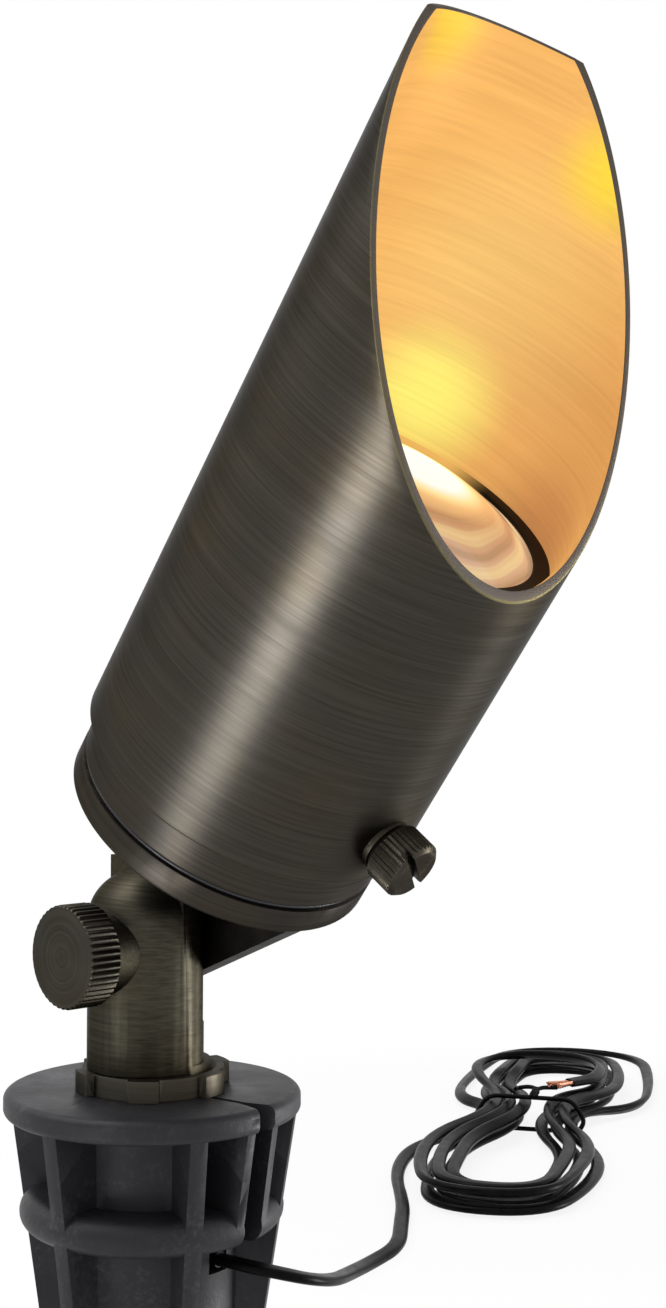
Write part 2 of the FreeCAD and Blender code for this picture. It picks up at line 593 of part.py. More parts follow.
def make_lamp_reflector():
    """A glass bowl whose inside and outside follow the same curve, a wall apart."""
    low = LAMP_NECK
    high = LAMP_FRONT - LAMP_GLASS
    middle = low + BELLY_UP * (high - low)
    belly_r = REFLECTOR_NECK_R + BELLY_OUT * (LAMP_FRONT_R - REFLECTOR_NECK_R)
    bore = CAPSULE_R + REFLECTOR_BORE_GAP
    wall = REFLECTOR_WALL
    outside = Part.Arc(Vector(REFLECTOR_NECK_R, 0, low), Vector(belly_r, 0, middle),
                       Vector(LAMP_FRONT_R, 0, high)).toShape()
    inside = Part.Arc(Vector(LAMP_FRONT_R - wall, 0, high), Vector(belly_r - wall, 0, middle + wall),
                      Vector(bore, 0, low + wall)).toShape()
    top = polyline([(LAMP_FRONT_R, high), (LAMP_FRONT_R - wall, high)])
    bottom = polyline([(bore, low + wall), (bore, low), (REFLECTOR_NECK_R, low)])
    return leaned(revolved([outside] + top + [inside] + bottom))


def make_lamp_capsule():
    tube_top = LAMP_NECK + CAPSULE_HEIGHT - CAPSULE_R
    tube = Part.makeCylinder(CAPSULE_R, tube_top - LAMP_NECK, Vector(0, 0, LAMP_NECK))
    return leaned(fused([tube, Part.makeSphere(CAPSULE_R, Vector(0, 0, tube_top))]))


def make_lamp_front_glass():
    low = LAMP_FRONT - LAMP_GLASS
    return leaned(Part.makeCylinder(LAMP_FRONT_R, LAMP_GLASS, Vector(0, 0, low)))


# ---- housing, lens and shroud ------------------------------------------------------------------------
def make_lamp_housing():
    tube = pipe(CAP_R, HOUSING_BORE_R, HOUSING_BOTTOM, HOUSING_TOP)
    circles = [e for e in tube.Edges if isinstance(e.Curve, Part.Circle)]
    rims = [e for e in circles if abs(e.Curve.Radius - CAP_R) < 0.01]
    return leaned(tube.makeChamfer(HOUSING_CHAMFER, rims))


def make_lens_gasket():
    """A silicone ring that wraps the lens's edge, from its seat to a lip over the glass."""
    inner = HOUSING_BORE_R - GASKET_INSIDE
    outer = CAP_R - GASKET_INSET
    edge = LENS_R + SEAT_GAP
    low = HOUSING_TOP
    seat = LENS_BOTTOM - SEAT_GAP
    top = LENS_TOP + SEAT_GAP
    lip = top + GASKET_LIP
    outline = [(inner, low), (outer, low), (outer, lip - GASKET_EDGE), (outer - GASKET_EDGE, lip),
               (LENS_SHOWN_R, lip), (LENS_SHOWN_R, top), (edge, top), (edge, seat), (inner, seat),
               (inner, low)]
    return leaned(revolved(polyline(outline)))


def make_lens():
    """A domed glass: a flat edge with an arched front and an arched back."""
    dome_foot = LENS_SHOWN_R - SEAT_GAP
    back_foot = HOUSING_BORE_R - LENS_BACK_INSET
    crown = LENS_TOP + LENS_CROWN
    front = arch(dome_foot, LENS_TOP, crown)
    back = arch(back_foot, LENS_BOTTOM, crown - LENS_WALL)
    edge = polyline([(back_foot, LENS_BOTTOM), (LENS_R, LENS_BOTTOM),
                     (LENS_R, LENS_TOP), (dome_foot, LENS_TOP)])
    axis = polyline([(0, crown), (0, crown - LENS_WALL)])
    return leaned(revolved(edge + [front] + axis + [back]))


def arch(foot_r, foot_z, crown_z):
    """The half arc of a dome from its foot to its crown on the axis."""
    rise = crown_z - foot_z
    radius = (foot_r * foot_r + rise * rise) / (2 * rise)
    half_r = foot_r / 2
    half_z = crown_z - radius + math.sqrt(radius * radius - half_r * half_r)
    return Part.Arc(Vector(foot_r, 0, foot_z), Vector(half_r, 0, half_z), Vector(0, 0, crown_z)).toShape()


def slanting_cut():
    """Everything above the shroud's slanting opening, which faces +X."""
    reach = 2 * SHROUD_R
    low = CUT_AT_AXIS - CUT_SLOPE * reach
    high = CUT_AT_AXIS + CUT_SLOPE * reach
    points = [Vector(reach, -reach, low), Vector(reach, -reach, high), Vector(-reach, -reach, high)]
    return Part.Face(Part.makePolygon(points + points[:1])).extrude(Vector(0, 2 * reach, 0))


def make_shroud():
    tube = pipe(SHROUD_R, SHROUD_BORE_R, SHROUD_BOTTOM, SHROUD_TIP)
    lower_rims = [e for e in tube.Edges if isinstance(e.Curve, Part.Circle)
                  and e.Curve.Center.z < SHROUD_BOTTOM + 1 and e.Curve.Radius > SHROUD_BORE_R + 0.5]
    tube = tube.makeChamfer(SHROUD_CHAMFER, lower_rims)
    groove = pipe(SHROUD_BORE_R + RING_GROOVE_DEPTH, SHROUD_BORE_R - 1,
                  RING_S - RING_GROOVE_WIDTH / 2, RING_S + RING_GROOVE_WIDTH / 2)
    hole = rod(BUSHING_R + SEAT_GAP, Vector(0, 0, SCREW_S), Vector(2 * SHROUD_R, 0, SCREW_S))
    hole.rotate(ORIGIN, Z_AXIS, SCREW_ANGLE)
    return leaned(tube.cut(slanting_cut()).cut(groove).cut(hole))


def make_shroud_ring():
    """The friction ring that rides in the shroud's groove and grips the housing."""
    section = (SHROUD_BORE_R + RING_GROOVE_DEPTH - CAP_R) / 2 - SEAT_GAP
    return leaned(Part.makeTorus(CAP_R + SEAT_GAP + section, section, Vector(0, 0, RING_S)))


def make_screw_bushing():
    """A threaded bush set in the shroud's wall, with a thin flange outside."""
    start = Vector(SHROUD_BORE_R, 0, SCREW_S)
    flange_end = Vector(SHROUD_R + BUSHING_FLANGE, 0, SCREW_S)
    sleeve = rod(BUSHING_R, Vector(SHROUD_BORE_R - 1, 0, SCREW_S), flange_end)
    flange = rod(BUSHING_FLANGE_R, start, flange_end)
    outside = Part.makeCylinder(SHROUD_R + SEAT_GAP, SHROUD_TIP)
    inside = Part.makeCylinder(SHROUD_BORE_R, SHROUD_TIP)
    bush = fused([sleeve, flange.cut(outside)]).cut(inside)
    bush = bush.cut(rod(SCREW_R + SEAT_GAP, Vector(0, 0, SCREW_S), flange_end + Vector(1, 0, 0)))
    bush.rotate(ORIGIN, Z_AXIS, SCREW_ANGLE)
    return leaned(bush)


def make_shroud_screw():
    head = knurled_disc(SCREW_HEAD_R, SCREW_HEAD_HEIGHT, SCREW_RIDGE_COUNT, KNOB_CHAMFER)
    slot = block(-SCREW_HEAD_R - 1, SCREW_HEAD_R + 1, -SCREW_SLOT_WIDTH / 2, SCREW_SLOT_WIDTH / 2,
                 SCREW_HEAD_HEIGHT - SCREW_SLOT_DEPTH, SCREW_HEAD_HEIGHT + 1)
    slot.rotate(ORIGIN, Z_AXIS, SCREW_SLOT_TURN)
    head_start = SHROUD_R + BUSHING_FLANGE + RUN_GAP
    shank_length = head_start - CAP_R - SEAT_GAP * 2
    shank = Part.makeCylinder(SCREW_R, shank_length, Vector(0, 0, -shank_length))
    screw = fused([head.cut(slot), shank])
    screw.rotate(ORIGIN, Y_AXIS, 90)
    screw.translate(Vector(head_start, 0, SCREW_S))
    screw.rotate(ORIGIN, Z_AXIS, SCREW_ANGLE)
    return leaned(screw)


# ---- cord --------------------------------------------------------------------------------------------
def rounded_route(points):
    """Straight runs joined by tangent arcs, as a list of edges, with the radii of the arcs."""
    edges = []
    radii = []
    start = points[0]
    for before, corner, after in zip(points, points[1:], points[2:]):
        incoming = (before - corner).normalize()
        outgoing = (after - corner).normalize()
        half_turn = (math.pi - incoming.getAngle(outgoing)) / 2
        run = ARC_SHARE * min((before - corner).Length, (after - corner).Length)
        radius = run / math.tan(half_turn)
        first = corner + incoming * run
        last = corner + outgoing * run
        inward = (incoming + outgoing).normalize()
        nearest = corner + inward * (radius / math.cos(half_turn) - radius)
        edges.append(Part.LineSegment(start, first).toShape())
        edges.append(Part.Arc(first, nearest, last).toShape())
        radii.append(radius)
        start = last
    edges.append(Part.LineSegment(start, points[-1]).toShape())
    return edges, radii


def arc_from(start, corner, end):
    """The arc from start to end whose tangents at both meet at the corner."""
    middle = (start + end) * 0.5
    half_chord = (end - start).Length / 2
    if (corner - middle).Length < 0.001 * half_chord:
        return Part.LineSegment(start, end).toShape(), 1000.0
    half_turn = math.atan((corner - middle).Length / half_chord)
    bulge = middle + (corner - middle).normalize() * (half_chord * math.tan(half_turn / 2))
    return Part.Arc(start, bulge, end).toShape(), half_chord / math.sin(half_turn)


def two_arcs(start, start_way, end, end_way):
    """Two arcs that leave start along start_way and reach end along end_way."""
    span = end - start
    both = start_way + end_way
    spread = 2 * (1 - start_way.dot(end_way))
    reach = span.dot(both)
    if spread < 1e-6:
        handle = span.dot(span) / (2 * reach)
    else:
        handle = (math.sqrt(reach * reach + spread * span.dot(span)) - reach) / spread
    near = start + start_way * handle
    far = end - end_way * handle
    join = (near + far) * 0.5
    return [arc_from(start, near, join), arc_from(join, far, end)]


def tube_along(edges, radius):
    """A round tube swept along joined edges."""
    path = Part.Wire(edges)
    first = edges[0]
    way = first.tangentAt(first.FirstParameter)
    section = Part.Wire(Part.makeCircle(radius, first.valueAt(first.FirstParameter), way))
    return path.makePipeShell([section], True, False)


def report_tube(name, tube, edges, radius, radii):
    length = sum(e.Length for e in edges)
    share = tube.Volume / (math.pi * radius * radius * length)
    print(f"{name}: length {length:.1f} mm, least radius {min(radii):.2f} mm, largest {max(radii):.1f} mm, "
          f"volume over section x length {share:.4f}, valid {tube.isValid()}")


def slot_way():
    """The direction out of the wire slot."""
    angle = math.radians(STAKE_TURN)
    return Vector(math.cos(angle), math.sin(angle), 0)


def cord_exit():
    """Where the cord leaves the stake's core."""
    return slot_way() * (STAKE_CORE_R - 0.3) + Vector(0, 0, STAKE_HEIGHT - WIRE_EXIT_DEPTH)


def make_cord_inner():
    out = cord_exit()
    top = Vector(0, 0, PIVOT.z - INNER_TOP)
    elbow = Vector(0, 0, out.z + INNER_ELBOW)
    corner = slot_way() * EXIT_RUN + Vector(0, 0, out.z)
    middle = (top + elbow) * 0.5
    edges, radii = rounded_route([top, middle + Vector(INNER_BOW, 0, 0), elbow, corner, out])
    tube = tube_along(edges, CORD_R)
    report_tube("cord_inner", tube, edges, CORD_R, radii)
    return tube


def on_hank(along, across, height):
    """A point of the hank, from its own directions to the object's."""
    angle = math.radians(HANK_DIRECTION)
    ahead = Vector(math.cos(angle), math.sin(angle), 0)
    left = Vector(-math.sin(angle), math.cos(angle), 0)
    return Vector(HANK_WAIST_X, HANK_WAIST_Y, height) + ahead * along + left * across


def hank_way(turn, climb=0.0):
    """A direction turned from the hank's own, with a rise."""
    angle = math.radians(HANK_DIRECTION + turn)
    return Vector(math.cos(angle), math.sin(angle), climb).normalize()


def lead_points():
    """Corners of the free stretch, from the slot down to the soil and on to the hank."""
    out = cord_exit()
    start = on_hank(HANK_START_U, HANK_START_V, FLOOR_Z)
    return [out,
            out + slot_way() * EXIT_RUN,
            Vector(27.0, 7.6, 11.9),
            Vector(28.7, 14.0, 9.7),
            Vector(25.2, 23.0, 6.7),
            Vector(17.6, 34.5, 3.6),
            Vector(11.5, 46.5, FLOOR_Z),
            start - hank_way(HANK_START_TURN) * LAST_RUN,
            start]


def make_cord_lead():
    edges, radii = rounded_route(lead_points())
    tube = tube_along(edges, CORD_R)
    report_tube("cord_lead", tube, edges, CORD_R, radii)
    return tube


def lobe(size):
    return HANK_LOBE + HANK_LOBE_STEP * size


def waist(size):
    return HANK_WAIST + HANK_WAIST_STEP * size


def hank_stations():
    """Points and directions of the cord round the hank: each side has three, and a tip joins them.

    The cord spirals in on the lowest layer, climbs in the turn where it reverses, spirals out on the next
    layer, and ends on top.
    """
    sizes = [HANK_TURN_COUNT - 0.5 * side for side in range(2 * HANK_TURN_COUNT)]
    layers = [0] * len(sizes)
    sizes += [0.5 + 0.5 * side for side in range(2 * HANK_TURN_COUNT - 1)]
    layers += [1] * (len(sizes) - len(layers))
    stations = []
    for side, (size, layer) in enumerate(zip(sizes, layers)):
        way = 1 if side % 2 == 0 else -1
        turn = 0 if way > 0 else 180
        height = FLOOR_Z + layer * CORD_LAYER
        entry = [way * -HANK_LOBE_U, way * lobe(size)]
        leave = [way * HANK_LOBE_U, way * lobe(size)]
        if side == 0:
            entry = [-HANK_LOBE_U, LOOSE_LOBE]
            leave = [HANK_LOBE_U, LOOSE_LOBE]
        if side == 1:
            entry = [HANK_LOBE_U, -LOOSE_LOBE]
        last = side == len(sizes) - 1
        rise = CORD_LAYER if last else 0
        stations.append((on_hank(entry[0], entry[1], height), hank_way(turn)))
        stations.append((on_hank(0, way * waist(size), height + WAIST_LIFT), hank_way(turn)))
        stations.append((on_hank(leave[0], leave[1], height + rise), hank_way(turn)))
        if not last:
            next_height = FLOOR_Z + layers[side + 1] * CORD_LAYER
            tip = HANK_TIP + HANK_TIP_STEP * (size + sizes[side + 1]) / 2
            tip = LOOSE_REACH if side == 0 else tip
            climb = (next_height - height) / HANK_TIP
            stations.append((on_hank(way * tip, 0, (height + next_height) / 2), hank_way(turn - 90, climb)))
    return stations


def hank_end_stations():
    """The last half turn on top, and the end that follows the strand below it back towards the tie."""
    height = FLOOR_Z + 2 * CORD_LAYER
    left = lobe(HANK_TURN_COUNT - 0.5)
    right = lobe(1)
    reach = HANK_LOBE_U + (left + right) / 2
    fall = math.degrees(2 * math.atan((lobe(1) - waist(1)) / HANK_LOBE_U))
    climb = 2 * WAIST_LIFT / HANK_LOBE_U
    end = on_hank(HANK_LOBE_U / 2, -(lobe(1) + waist(1)) / 2, height + WAIST_LIFT / 2)
    return [(on_hank(reach, (left - right) / 2, height), hank_way(-90)),
            (on_hank(HANK_LOBE_U, -right, height), hank_way(180)),
            (end, hank_way(180 - fall, climb))]


def hank_edges():
    start = on_hank(HANK_START_U, HANK_START_V, FLOOR_Z)
    start_way = hank_way(HANK_START_TURN)
    stations = [(start + start_way * CORD_D, start_way)] + hank_stations() + hank_end_stations()
    edges = [Part.LineSegment(start, stations[0][0]).toShape()]
    radii = []
    for (a, a_way), (b, b_way) in zip(stations, stations[1:]):
        for edge, radius in two_arcs(a, a_way, b, b_way):
            edges.append(edge)
            radii.append(radius)
    end, end_way = stations[-1]
    edges.append(Part.LineSegment(end, end + end_way * CORD_D).toShape())
    return edges, radii


def least_gap(edges, radius):
    """The smallest clear distance between stretches of a tube that are not neighbours along it."""
    step = 1.5
    places = []
    travelled = 0.0
    for edge in edges:
        count = max(2, int(edge.Length / step) + 1)
        for index, point in enumerate(edge.discretize(count)[:-1]):
            places.append((travelled + edge.Length * index / (count - 1), point.x, point.y, point.z))
        travelled += edge.Length
    least = 1e9
    for index, (s, x, y, z) in enumerate(places):
        for other_s, other_x, other_y, other_z in places[index + 1:]:
            if other_s - s > NEAR_ALONG * 2 * radius:
                square = (other_x - x) ** 2 + (other_y - y) ** 2 + (other_z - z) ** 2
                least = min(least, square)
    return math.sqrt(least) - 2 * radius


def make_cord_hank():
    edges, radii = hank_edges()
    tube = tube_along(edges, CORD_R)
    report_tube("cord_hank", tube, edges, CORD_R, radii)
    print(f"cord_hank: least gap to itself {least_gap(edges, CORD_R):.2f} mm")
    return tube


def make_copper_ends():
    """Two bare conductors that stand out of the cord's end."""
    end, way = hank_end_stations()[-1]
    start = end + way * CORD_D
    side = Z_AXIS.cross(way).normalize()
    wires = []
    for hand in (-1, 1):
        foot = start + side * (hand * (COPPER_R + 0.1))
        tip = foot + way * COPPER_LENGTH + side * (hand * COPPER_SPLAY)
        along = tip - foot
        inside = rod(COPPER_R, foot - along * 0.1, tip)
        ahead = Part.makeCylinder(3 * CORD_D, 2 * COPPER_LENGTH, start, way)
        wires.append(inside.common(ahead))
    return Part.makeCompound(wires)


def make_cord_tie():
    """A wire tie: a closed loop round the hank's waist with its corners rounded."""
    left = waist(HANK_TURN_COUNT) + TIE_ROOM
    right = waist(HANK_TURN_COUNT - 0.5) + TIE_ROOM
    low = (TIE_D + FLOOR_GAP) / 2
    shoulder = FLOOR_Z + WAIST_LIFT + CORD_R / 3
    high = FLOOR_Z + CORD_LAYER + WAIST_LIFT + TIE_ROOM
    top_left = waist(HANK_TURN_COUNT - 0.5) + TIE_ROOM - TIE_CROWN
    top_right = waist(HANK_TURN_COUNT - 1) + TIE_ROOM - TIE_CROWN
    corners = [(top_left, high), (left + TIE_SHOULDER, shoulder), (left - TIE_FOOT, low),
               (-right + TIE_FOOT, low), (-right - TIE_SHOULDER, shoulder), (-top_right, high)]
    loop = [on_hank(0, across, height) for across, height in corners]
    return tube_along(closed_route(loop), TIE_D / 2)


def closed_route(corners):
    """A closed loop of straight runs joined by tangent arcs."""
    start = (corners[0] + corners[-1]) * 0.5
    edges, radii = rounded_route([start] + corners + [start])
    return edges


PIECES = {
    "stake": make_stake,
    "lock_nut": make_lock_nut,
    "stem": make_stem,
    "tilt_knob": make_tilt_knob,
    "rear_cap": make_rear_cap,
    "cap_oring": make_cap_oring,
    "wire_grommet": make_wire_grommet,
    "socket_bracket": make_socket_bracket,
    "bracket_screws": make_bracket_screws,
    "lamp_socket": make_lamp_socket,
    "socket_screws": make_socket_screws,
    "socket_leads": make_socket_leads,
    "lamp_pins": make_lamp_pins,
    "lamp_base": make_lamp_base,
    "lamp_reflector": make_lamp_reflector,
    "lamp_capsule": make_lamp_capsule,
    "lamp_front_glass": make_lamp_front_glass,
    "lamp_housing": make_lamp_housing,
    "lens_gasket": make_lens_gasket,
    "lens": make_lens,
    "shroud": make_shroud,
    "shroud_ring": make_shroud_ring,
    "screw_bushing": make_screw_bushing,
    "shroud_screw": make_shroud_screw,
    "cord_inner": make_cord_inner,
    "cord_lead": make_cord_lead,
    "cord_hank": make_cord_hank,
    "cord_tie": make_cord_tie,
    "copper_ends": make_copper_ends,
}


def main():
    os.makedirs("parts", exist_ok=True)
    for name, make in PIECES.items():
        shape = make()
        shape.exportStep(f"parts/{name}.step")
        box = shape.BoundBox
        print(f"{name}: volume {shape.Volume:.0f} mm3, solids {len(shape.Solids)}, valid {shape.isValid()}, "
              f"x {box.XMin:.1f} {box.XMax:.1f}, y {box.YMin:.1f} {box.YMax:.1f}, "
              f"z {box.ZMin:.1f} {box.ZMax:.1f}")


if __name__ == "__main__":
    main()
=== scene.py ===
"""Garden spike spotlight: the finished look of the brass head, its knuckle, the ground stake and the cord.

Sizes and grids of points are in millimetres in the row frame, and surface() makes them metres. The head's
pieces are worked out upright about the tilt pivot, and HeadFrame leans them over.
"""
import logging
import math
from collections.abc import Iterable
from dataclasses import dataclass, field, replace
from enum import Enum, IntEnum

import bmesh
import bpy
import numpy as np
from mathutils import Matrix, Vector


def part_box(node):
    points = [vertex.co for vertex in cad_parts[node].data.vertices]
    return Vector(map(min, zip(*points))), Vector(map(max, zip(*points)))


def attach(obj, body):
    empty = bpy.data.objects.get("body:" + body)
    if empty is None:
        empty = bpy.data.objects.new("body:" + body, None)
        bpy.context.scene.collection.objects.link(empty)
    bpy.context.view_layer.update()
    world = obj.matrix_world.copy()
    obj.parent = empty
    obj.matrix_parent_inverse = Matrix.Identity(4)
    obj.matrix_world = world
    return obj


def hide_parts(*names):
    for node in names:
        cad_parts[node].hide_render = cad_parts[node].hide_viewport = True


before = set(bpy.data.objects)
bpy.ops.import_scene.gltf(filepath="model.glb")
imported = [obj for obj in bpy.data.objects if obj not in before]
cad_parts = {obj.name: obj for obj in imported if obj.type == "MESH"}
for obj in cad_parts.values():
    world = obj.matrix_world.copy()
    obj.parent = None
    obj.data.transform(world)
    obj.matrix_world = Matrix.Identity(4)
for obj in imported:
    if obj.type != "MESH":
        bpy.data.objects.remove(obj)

logging.basicConfig(level=logging.INFO, format="%(name)s: %(message)s")
LOG = logging.getLogger("spotlight")
MM = 0.001
MERGE_WITHIN = 2e-6
SHORTEST_EDGE = 1e-7
UP = (0.0, 0.0, 1.0)
BLACK = (0.0, 0.0, 0.0)
WHITE = (1.0, 1.0, 1.0)
Pair = tuple[float, float]
Triple = tuple[float, float, float]
Socket = bpy.types.NodeSocket
Value = Socket | float | Triple


# ---- colours and shader nodes ----------------------------------------------------------------------------
def linear(*seen: int) -> Triple:
    """Turns a colour as it is seen into the linear colour that a shader takes.

    Args:
        seen: Red, green and blue, each 0 to 255.

    Returns:
        Linear values: v / 12.92 up to 0.04045, and ((v + 0.055) / 1.055) to the power 2.4 above.
    """
    shares = [level / 255 for level in seen]
    return tuple(v / 12.92 if v <= 0.04045 else ((v + 0.055) / 1.055) ** 2.4 for v in shares)


class Lathe(Enum):
    """The line that a piece was turned and brushed round: a point on it in millimetres, and its direction."""

    HEAD = ((0.0, 0.0, 68.15), (0.61566, 0.0, 0.78801))
    UPRIGHT = ((0.0, 0.0, 0.0), (0.0, 0.0, 1.0))
    KNOB = ((0.0, 0.0, 68.15), (0.0, -1.0, 0.0))
    SCREW = ((32.35, 0.0, 109.56), (0.7803, 0.1392, -0.6097))

    def spot(self, along: float, low: float, side: float) -> list[float]:
        """A place by the line, in metres: P + along (ax, 0, az) + low (az, 0, -ax) + side (0, 1, 0)."""
        (x, y, z), (ax, _, az) = self.value
        return [(x + along * ax + low * az) * MM, (y + side) * MM, (z + along * az - low * ax) * MM]


class NodeSheet:
    """The node tree of a material or world, with short calls to add and join its nodes."""

    # A Mix node's factor and colours among its inputs, and its colour among its outputs.
    MIX_INPUTS = (0, 6, 7)
    MIX_OUTPUT = 2

    def __init__(self, owner: bpy.types.Material | bpy.types.World, shader: str = "Principled BSDF") -> None:
        """Takes hold of a new tree, its own shader, and the socket that the shader goes into.

        Args:
            owner: The material or world.
            shader: Name of the shader that a new tree has.
        """
        owner.use_nodes = True
        self.owner = owner
        self.tree = owner.node_tree
        self.surface = self.tree.nodes[shader]
        self.end = self.surface.outputs[0].links[0].to_socket

    def feed(self, inputs: Iterable[Socket], *values: Value) -> None:
        """Joins inputs to sockets, or gives them a value of their own.

        Args:
            inputs: The inputs, in order.
            values: For each a socket, a number, three numbers or a linear colour.
        """
        for socket, value in zip(inputs, values):
            if isinstance(value, Socket):
                self.tree.links.new(value, socket)
            else:
                socket.default_value = (*value, 1.0) if socket.type == "RGBA" else value

    def add(self, kind: str, *parts: Value, **values: Value | str) -> bpy.types.Node:
        """Adds a node.

        Args:
            kind: The node's type, without its ShaderNode prefix.
            parts: Its first inputs, in order.
            values: Properties by name, and inputs by name with spaces as underscores.

        Returns:
            The new node.
        """
        node = self.tree.nodes.new("ShaderNode" + kind)
        for key, value in values.items():
            if hasattr(node, key):
                setattr(node, key, value)
            else:
                self.feed([node.inputs[key.replace("_", " ")]], value)
        self.feed(node.inputs, *parts)
        return node

    def settle(self, **values: Value) -> None:
        """Feeds inputs of the shader by name, with spaces as underscores."""
        for key, value in values.items():
            self.feed([self.surface.inputs[key.replace("_", " ")]], value)

    def vector(self, operation: str, *parts: Value, **values: Value) -> Socket:
        """A sum on vectors, each a socket or three numbers."""
        node = self.add("VectorMath", *parts, operation=operation, **values)
        return node.outputs["Value" if operation in ("DOT_PRODUCT", "DISTANCE") else "Vector"]

    def figure(self, operation: str, *parts: Value) -> Socket:
        """A sum on values, each a socket or a number."""
        return self.add("Math", *parts, operation=operation).outputs[0]

    def times(self, first: Socket, second: Value) -> Socket:
        """One value times another."""
        return self.figure("MULTIPLY", first, second)

    def shaded(self, colour: Value, factor: Socket) -> Socket:
        """A colour, a socket or linear, times a factor."""
        return self.vector("SCALE", colour, Scale=factor)

    def place(self) -> Socket:
        """Object coordinates."""
        return self.add("TexCoord").outputs["Object"]

    def about(self, lathe: Lathe) -> tuple[Socket, Socket, Socket]:
        """Places measured from a lathe's line.

        Args:
            lathe: The line.

        Returns:
            The offset P from its point, the reach s = P . a along its direction, and the distance |P - s a|.
        """
        point, way = lathe.value
        offset = self.vector("SUBTRACT", self.place(), [c * MM for c in point])
        along = self.vector("DOT_PRODUCT", offset, way)
        return offset, along, self.vector("DISTANCE", offset, self.vector("SCALE", way, Scale=along))

    def ringed(self, lathe: Lathe, rings: float, drift: float) -> Socket:
        """Stretches places into rings round a lathe's line, as its brush leaves them.

        Args:
            lathe: The line.
            rings: How fast the result changes along the line and away from it.
            drift: How slowly it changes round the line.

        Returns:
            The vector P d + (s, r, 0) n, from the offset P, the reach s and the distance r.
        """
        offset, along, away = self.about(lathe)
        both = self.add("CombineXYZ", along, away).outputs[0]
        slow = self.vector("SCALE", offset, Scale=drift)
        return self.vector("MULTIPLY_ADD", both, (rings, rings, 0.0), slow)

    def brush(self, lathe: Lathe, ahead: float = 0.05) -> None:
        """Draws highlights along a lathe's line, or outwards on a face across it.

        Args:
            lathe: The line.
            ahead: The length h, in metres, in the tangent P + h a.
        """
        reach = self.vector("ADD", self.about(lathe)[0], [c * ahead for c in lathe.value[1]])
        turn = self.add("VectorTransform", reach, vector_type="VECTOR", convert_from="OBJECT",
                        convert_to="WORLD")
        self.settle(Tangent=turn.outputs[0])

    def noise(self, where: Socket, scale: float, detail: float = 2.0, roughness: float = 0.5) -> Socket:
        """A noise value, 0 to 1, over a vector."""
        node = self.add("TexNoise", Vector=where, Scale=scale, Detail=detail, Roughness=roughness)
        return node.outputs["Fac"]

    def ranged(self, value: Socket, low: float, high: float, to_low: float, to_high: float,
               kind: str = "LINEAR") -> Socket:
        """Carries a value from one range to another, and stops it at the ends."""
        node = self.add("MapRange", value, low, high, to_low, to_high, interpolation_type=kind)
        return node.outputs["Result"]

    def varied(self, value: Socket, low: float, high: float) -> Socket:
        """Spreads a noise value, which mostly lies between 0.3 and 0.7, over a range."""
        return self.ranged(value, 0.3, 0.7, low, high)

    def glow(self, spot: Triple, fade: Pair) -> Socket:
        """A value that falls smoothly from 1 to 0 round a place by the head's axis.

        Args:
            spot: How far the place is along the axis, towards its lower side, and towards +Y.
            fade: Distances from the place at which the fall starts and ends.

        Returns:
            The value.
        """
        gap = self.vector("DISTANCE", self.place(), Lathe.HEAD.spot(*spot))
        return self.ranged(gap, fade[0] * MM, fade[1] * MM, 1.0, 0.0, "SMOOTHSTEP")

    def ramp(self, value: Socket, *stops: tuple[float, Triple]) -> Socket:
        """Colours by value.

        Args:
            value: The value, from 0 to 1.
            stops: Each is a value and its linear colour.

        Returns:
            The colour.
        """
        node = self.add("ValToRGB", value)
        band = node.color_ramp
        while len(band.elements) < len(stops):
            band.elements.new(0.5)
        for element, (place, colour) in zip(band.elements, stops):
            element.position = place
            element.color = (*colour, 1.0)
        return node.outputs["Color"]

    def mix(self, factor: Socket, first: Value, second: Value) -> Socket:
        """Mixes two colours, each a socket or a linear colour.

        Args:
            factor: 0 for the first colour, and 1 for the second.
            first: The first colour.
            second: The second colour.

        Returns:
            The mixed colour.
        """
        node = self.add("Mix", data_type="RGBA")
        self.feed([node.inputs[place] for place in self.MIX_INPUTS], factor, first, second)
        return node.outputs[self.MIX_OUTPUT]

    def choice(self, factor: Value, first: bpy.types.Node, second: bpy.types.Node) -> bpy.types.Node:
        """Mixes two shaders: the first at 0 and the second at 1."""
        return self.add("MixShader", factor, first.outputs[0], second.outputs[0])

    def looked_at(self) -> Socket:
        """Tells what is looked at from what only gives light.

        Returns:
            1 for a ray of the camera, of gloss or through glass, and 0 for the others: the largest of three.
        """
        rays = self.add("LightPath").outputs
        both = self.figure("MAXIMUM", rays["Is Camera Ray"], rays["Is Glossy Ray"])
        return self.figure("MAXIMUM", both, rays["Is Transmission Ray"])

    def bump(self, height: Socket, depth_mm: float, strength: float = 1.0) -> None:
        """Raises the surface by a height value, over a depth in millimetres."""
        node = self.add("Bump", Height=height, Distance=depth_mm * MM, Strength=strength)
        self.settle(Normal=node.outputs["Normal"])


# ---- finishes --------------------------------------------------------------------------------------------
@dataclass(frozen=True)
class Finish:
    """The look of a surface: each kind of finish lays its own nodes."""

    name: str

    def material(self) -> bpy.types.Material:
        """Makes the material.

        Returns:
            The material, with the finish's name.
        """
        sheet = NodeSheet(bpy.data.materials.new(self.name))
        self.lay(sheet)
        return sheet.owner

    def lay(self, sheet: NodeSheet) -> None:
        """Lays the nodes of this kind of finish on a new sheet."""
        raise NotImplementedError


